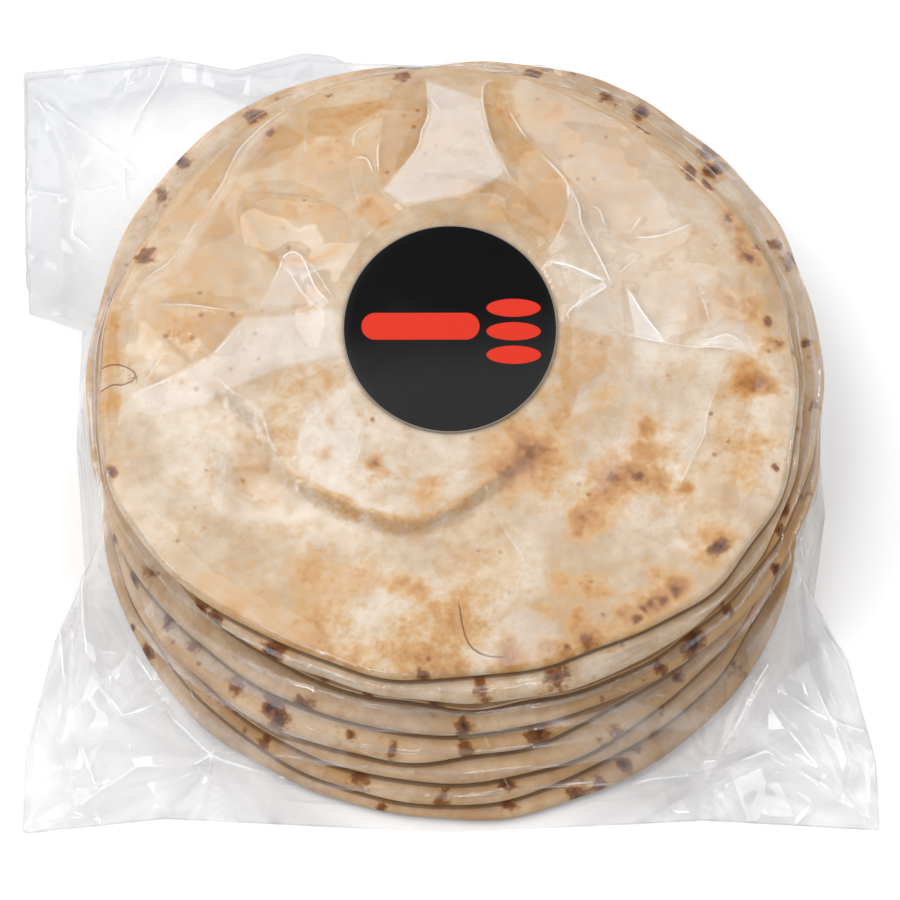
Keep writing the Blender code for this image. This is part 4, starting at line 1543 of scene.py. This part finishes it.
# Print of the label, from its centre: a rounded bar and three ovals.
BAR_MIDDLE = (-8.5, 0.5)
BAR_HALF_LENGTH = 13.0
BAR_RADIUS = 4.0
OVAL_X = 18.3
OVAL_LEVELS = (6.0, -1.0, -8.0)
OVAL_HALVES = (7.8, 2.7)
SHEEN_NOISE = (30.0, 2.0, 0.5, 0.8)
SHEEN_SPREAD = 24.0


def length_of(tree, first, second):
    squares = plus(tree, times(tree, first, first), times(tree, second, second))
    return maths(tree, "POWER", squares, 0.5)


def label_material():
    """Print a plain bar and a pictogram of three flat rounds on black."""
    material, tree = new_material("label_print")
    along, up = attribute(tree, "label_x"), attribute(tree, "label_y")
    beyond = maths(tree, "ABSOLUTE", minus(tree, along, BAR_MIDDLE[0]))
    beyond = maths(tree, "MAXIMUM", minus(tree, beyond, BAR_HALF_LENGTH), 0.0)
    bar = length_of(tree, beyond, minus(tree, up, BAR_MIDDLE[1]))
    mark = minus(tree, 1.0, ramp(tree, bar, BAR_RADIUS - 0.1, BAR_RADIUS + 0.1))
    for level in OVAL_LEVELS:
        across = maths(tree, "DIVIDE", minus(tree, along, OVAL_X), OVAL_HALVES[0])
        tall = maths(tree, "DIVIDE", minus(tree, up, level), OVAL_HALVES[1])
        oval = minus(tree, 1.0, ramp(tree, length_of(tree, across, tall), 0.97, 1.03))
        mark = maths(tree, "MAXIMUM", mark, oval)
    # Painted sheen: the black grows paler towards the label's front edge, with a wavering border.
    sheen_wobble = times(tree, noise_value(tree, object_place(tree), *SHEEN_NOISE), SHEEN_SPREAD)
    pale = ramp(tree, plus(tree, up, sheen_wobble), 22.0, -6.0)
    black_and_sheen = mix_colour(tree, pale, LABEL_BLACK, LABEL_SHEEN)
    colour = mix_colour(tree, mark, black_and_sheen, LABEL_RED)
    ring = length_of(tree, along, up)
    ring = ramp(tree, ring, LABEL_RADIUS - 0.5, LABEL_RADIUS - 0.4)
    colour = mix_colour(tree, ring, colour, LABEL_RING)
    end_with(tree, add_node(
        tree, "ShaderNodeBsdfPrincipled", Base_Color=colour, Roughness=0.3,
        Specular_IOR_Level=0.1,
    ))
    return material


# Soft boxes: name, azimuth, elevation, distance in metres, size and brightness.
SOFTBOXES = (
    ("back_box", 100, 50, 3.0, (3.4, 2.0), 1.7),
    ("left_box", 176, 54, 3.0, (2.0, 2.6), 4.5),
    ("right_box", 4, 54, 3.0, (2.0, 2.6), 2.4),
    ("left_spark", 200, 40, 2.4, (0.2, 0.6), 14.0),
    ("right_spark", -22, 42, 2.4, (0.2, 0.6), 14.0),
    ("front_spark", -80, 30, 2.4, (0.6, 0.2), 10.0),
)
SKY_COLOUR = (0.97, 0.98, 1.0, 1.0)
SKY_STRENGTH = 0.36
FLOOR_HALF = 3.0
FLOOR_COLOUR = (0.80, 0.80, 0.80)


def add_softbox(name, azimuth, elevation, distance, size, radiance):
    """Hang a rectangular light in one direction, with a given brightness of its face."""
    light = bpy.data.lights.new(name, "AREA")
    light.shape = "RECTANGLE"
    light.size, light.size_y = size
    light.energy = radiance * math.pi * size[0] * size[1]
    turn, rise = math.radians(azimuth), math.radians(elevation)
    level = math.cos(rise)
    place = Vector((math.cos(turn) * level, math.sin(turn) * level, math.sin(rise)))
    lamp = bpy.data.objects.new(name, light)
    lamp.location = place * distance
    lamp.rotation_euler = (-place).to_track_quat("-Z", "Y").to_euler()
    bpy.context.scene.collection.objects.link(lamp)


def make_studio():
    scene = bpy.context.scene
    scene.view_settings.view_transform = "Standard"
    world = bpy.data.worlds.new("soft_sky")
    world.use_nodes = True
    background = world.node_tree.nodes["Background"]
    background.inputs[0].default_value = SKY_COLOUR
    background.inputs[1].default_value = SKY_STRENGTH
    scene.world = world
    corners = [(x * FLOOR_HALF, y * FLOOR_HALF, 0.0) for x, y in
               ((-1, -1), (1, -1), (1, 1), (-1, 1))]
    floor_mesh = bpy.data.meshes.new("floor")
    floor_mesh.from_pydata(corners, [], [(0, 1, 2, 3)])
    floor = bpy.data.objects.new("floor", floor_mesh)
    scene.collection.objects.link(floor)
    material, tree = new_material("pale_floor")
    end_with(tree, add_node(
        tree, "ShaderNodeBsdfPrincipled", Base_Color=FLOOR_COLOUR, Roughness=0.9,
    ))
    floor_mesh.materials.append(material)
    for softbox in SOFTBOXES:
        add_softbox(*softbox)


def make_camera():
    camera = bpy.data.cameras.new("camera")
    camera.lens = CAMERA_LENS
    camera.sensor_width = SENSOR_WIDTH
    holder = bpy.data.objects.new("camera", camera)
    rise = math.radians(CAMERA_ELEVATION)
    target = Vector(CAMERA_TARGET) * MM
    back = Vector((0.0, -math.cos(rise), math.sin(rise)))
    holder.location = target + back * CAMERA_DISTANCE * MM
    holder.rotation_euler = (-back).to_track_quat("-Z", "Y").to_euler()
    bpy.context.scene.collection.objects.link(holder)
    bpy.context.scene.camera = holder


make_camera()
make_studio()
for number, bread in enumerate(make_breads()):
    bread.data.materials.append(bread_material(number))
    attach(bread, "root")
make_film().data.materials.append(film_material())
make_label().data.materials.append(label_material())
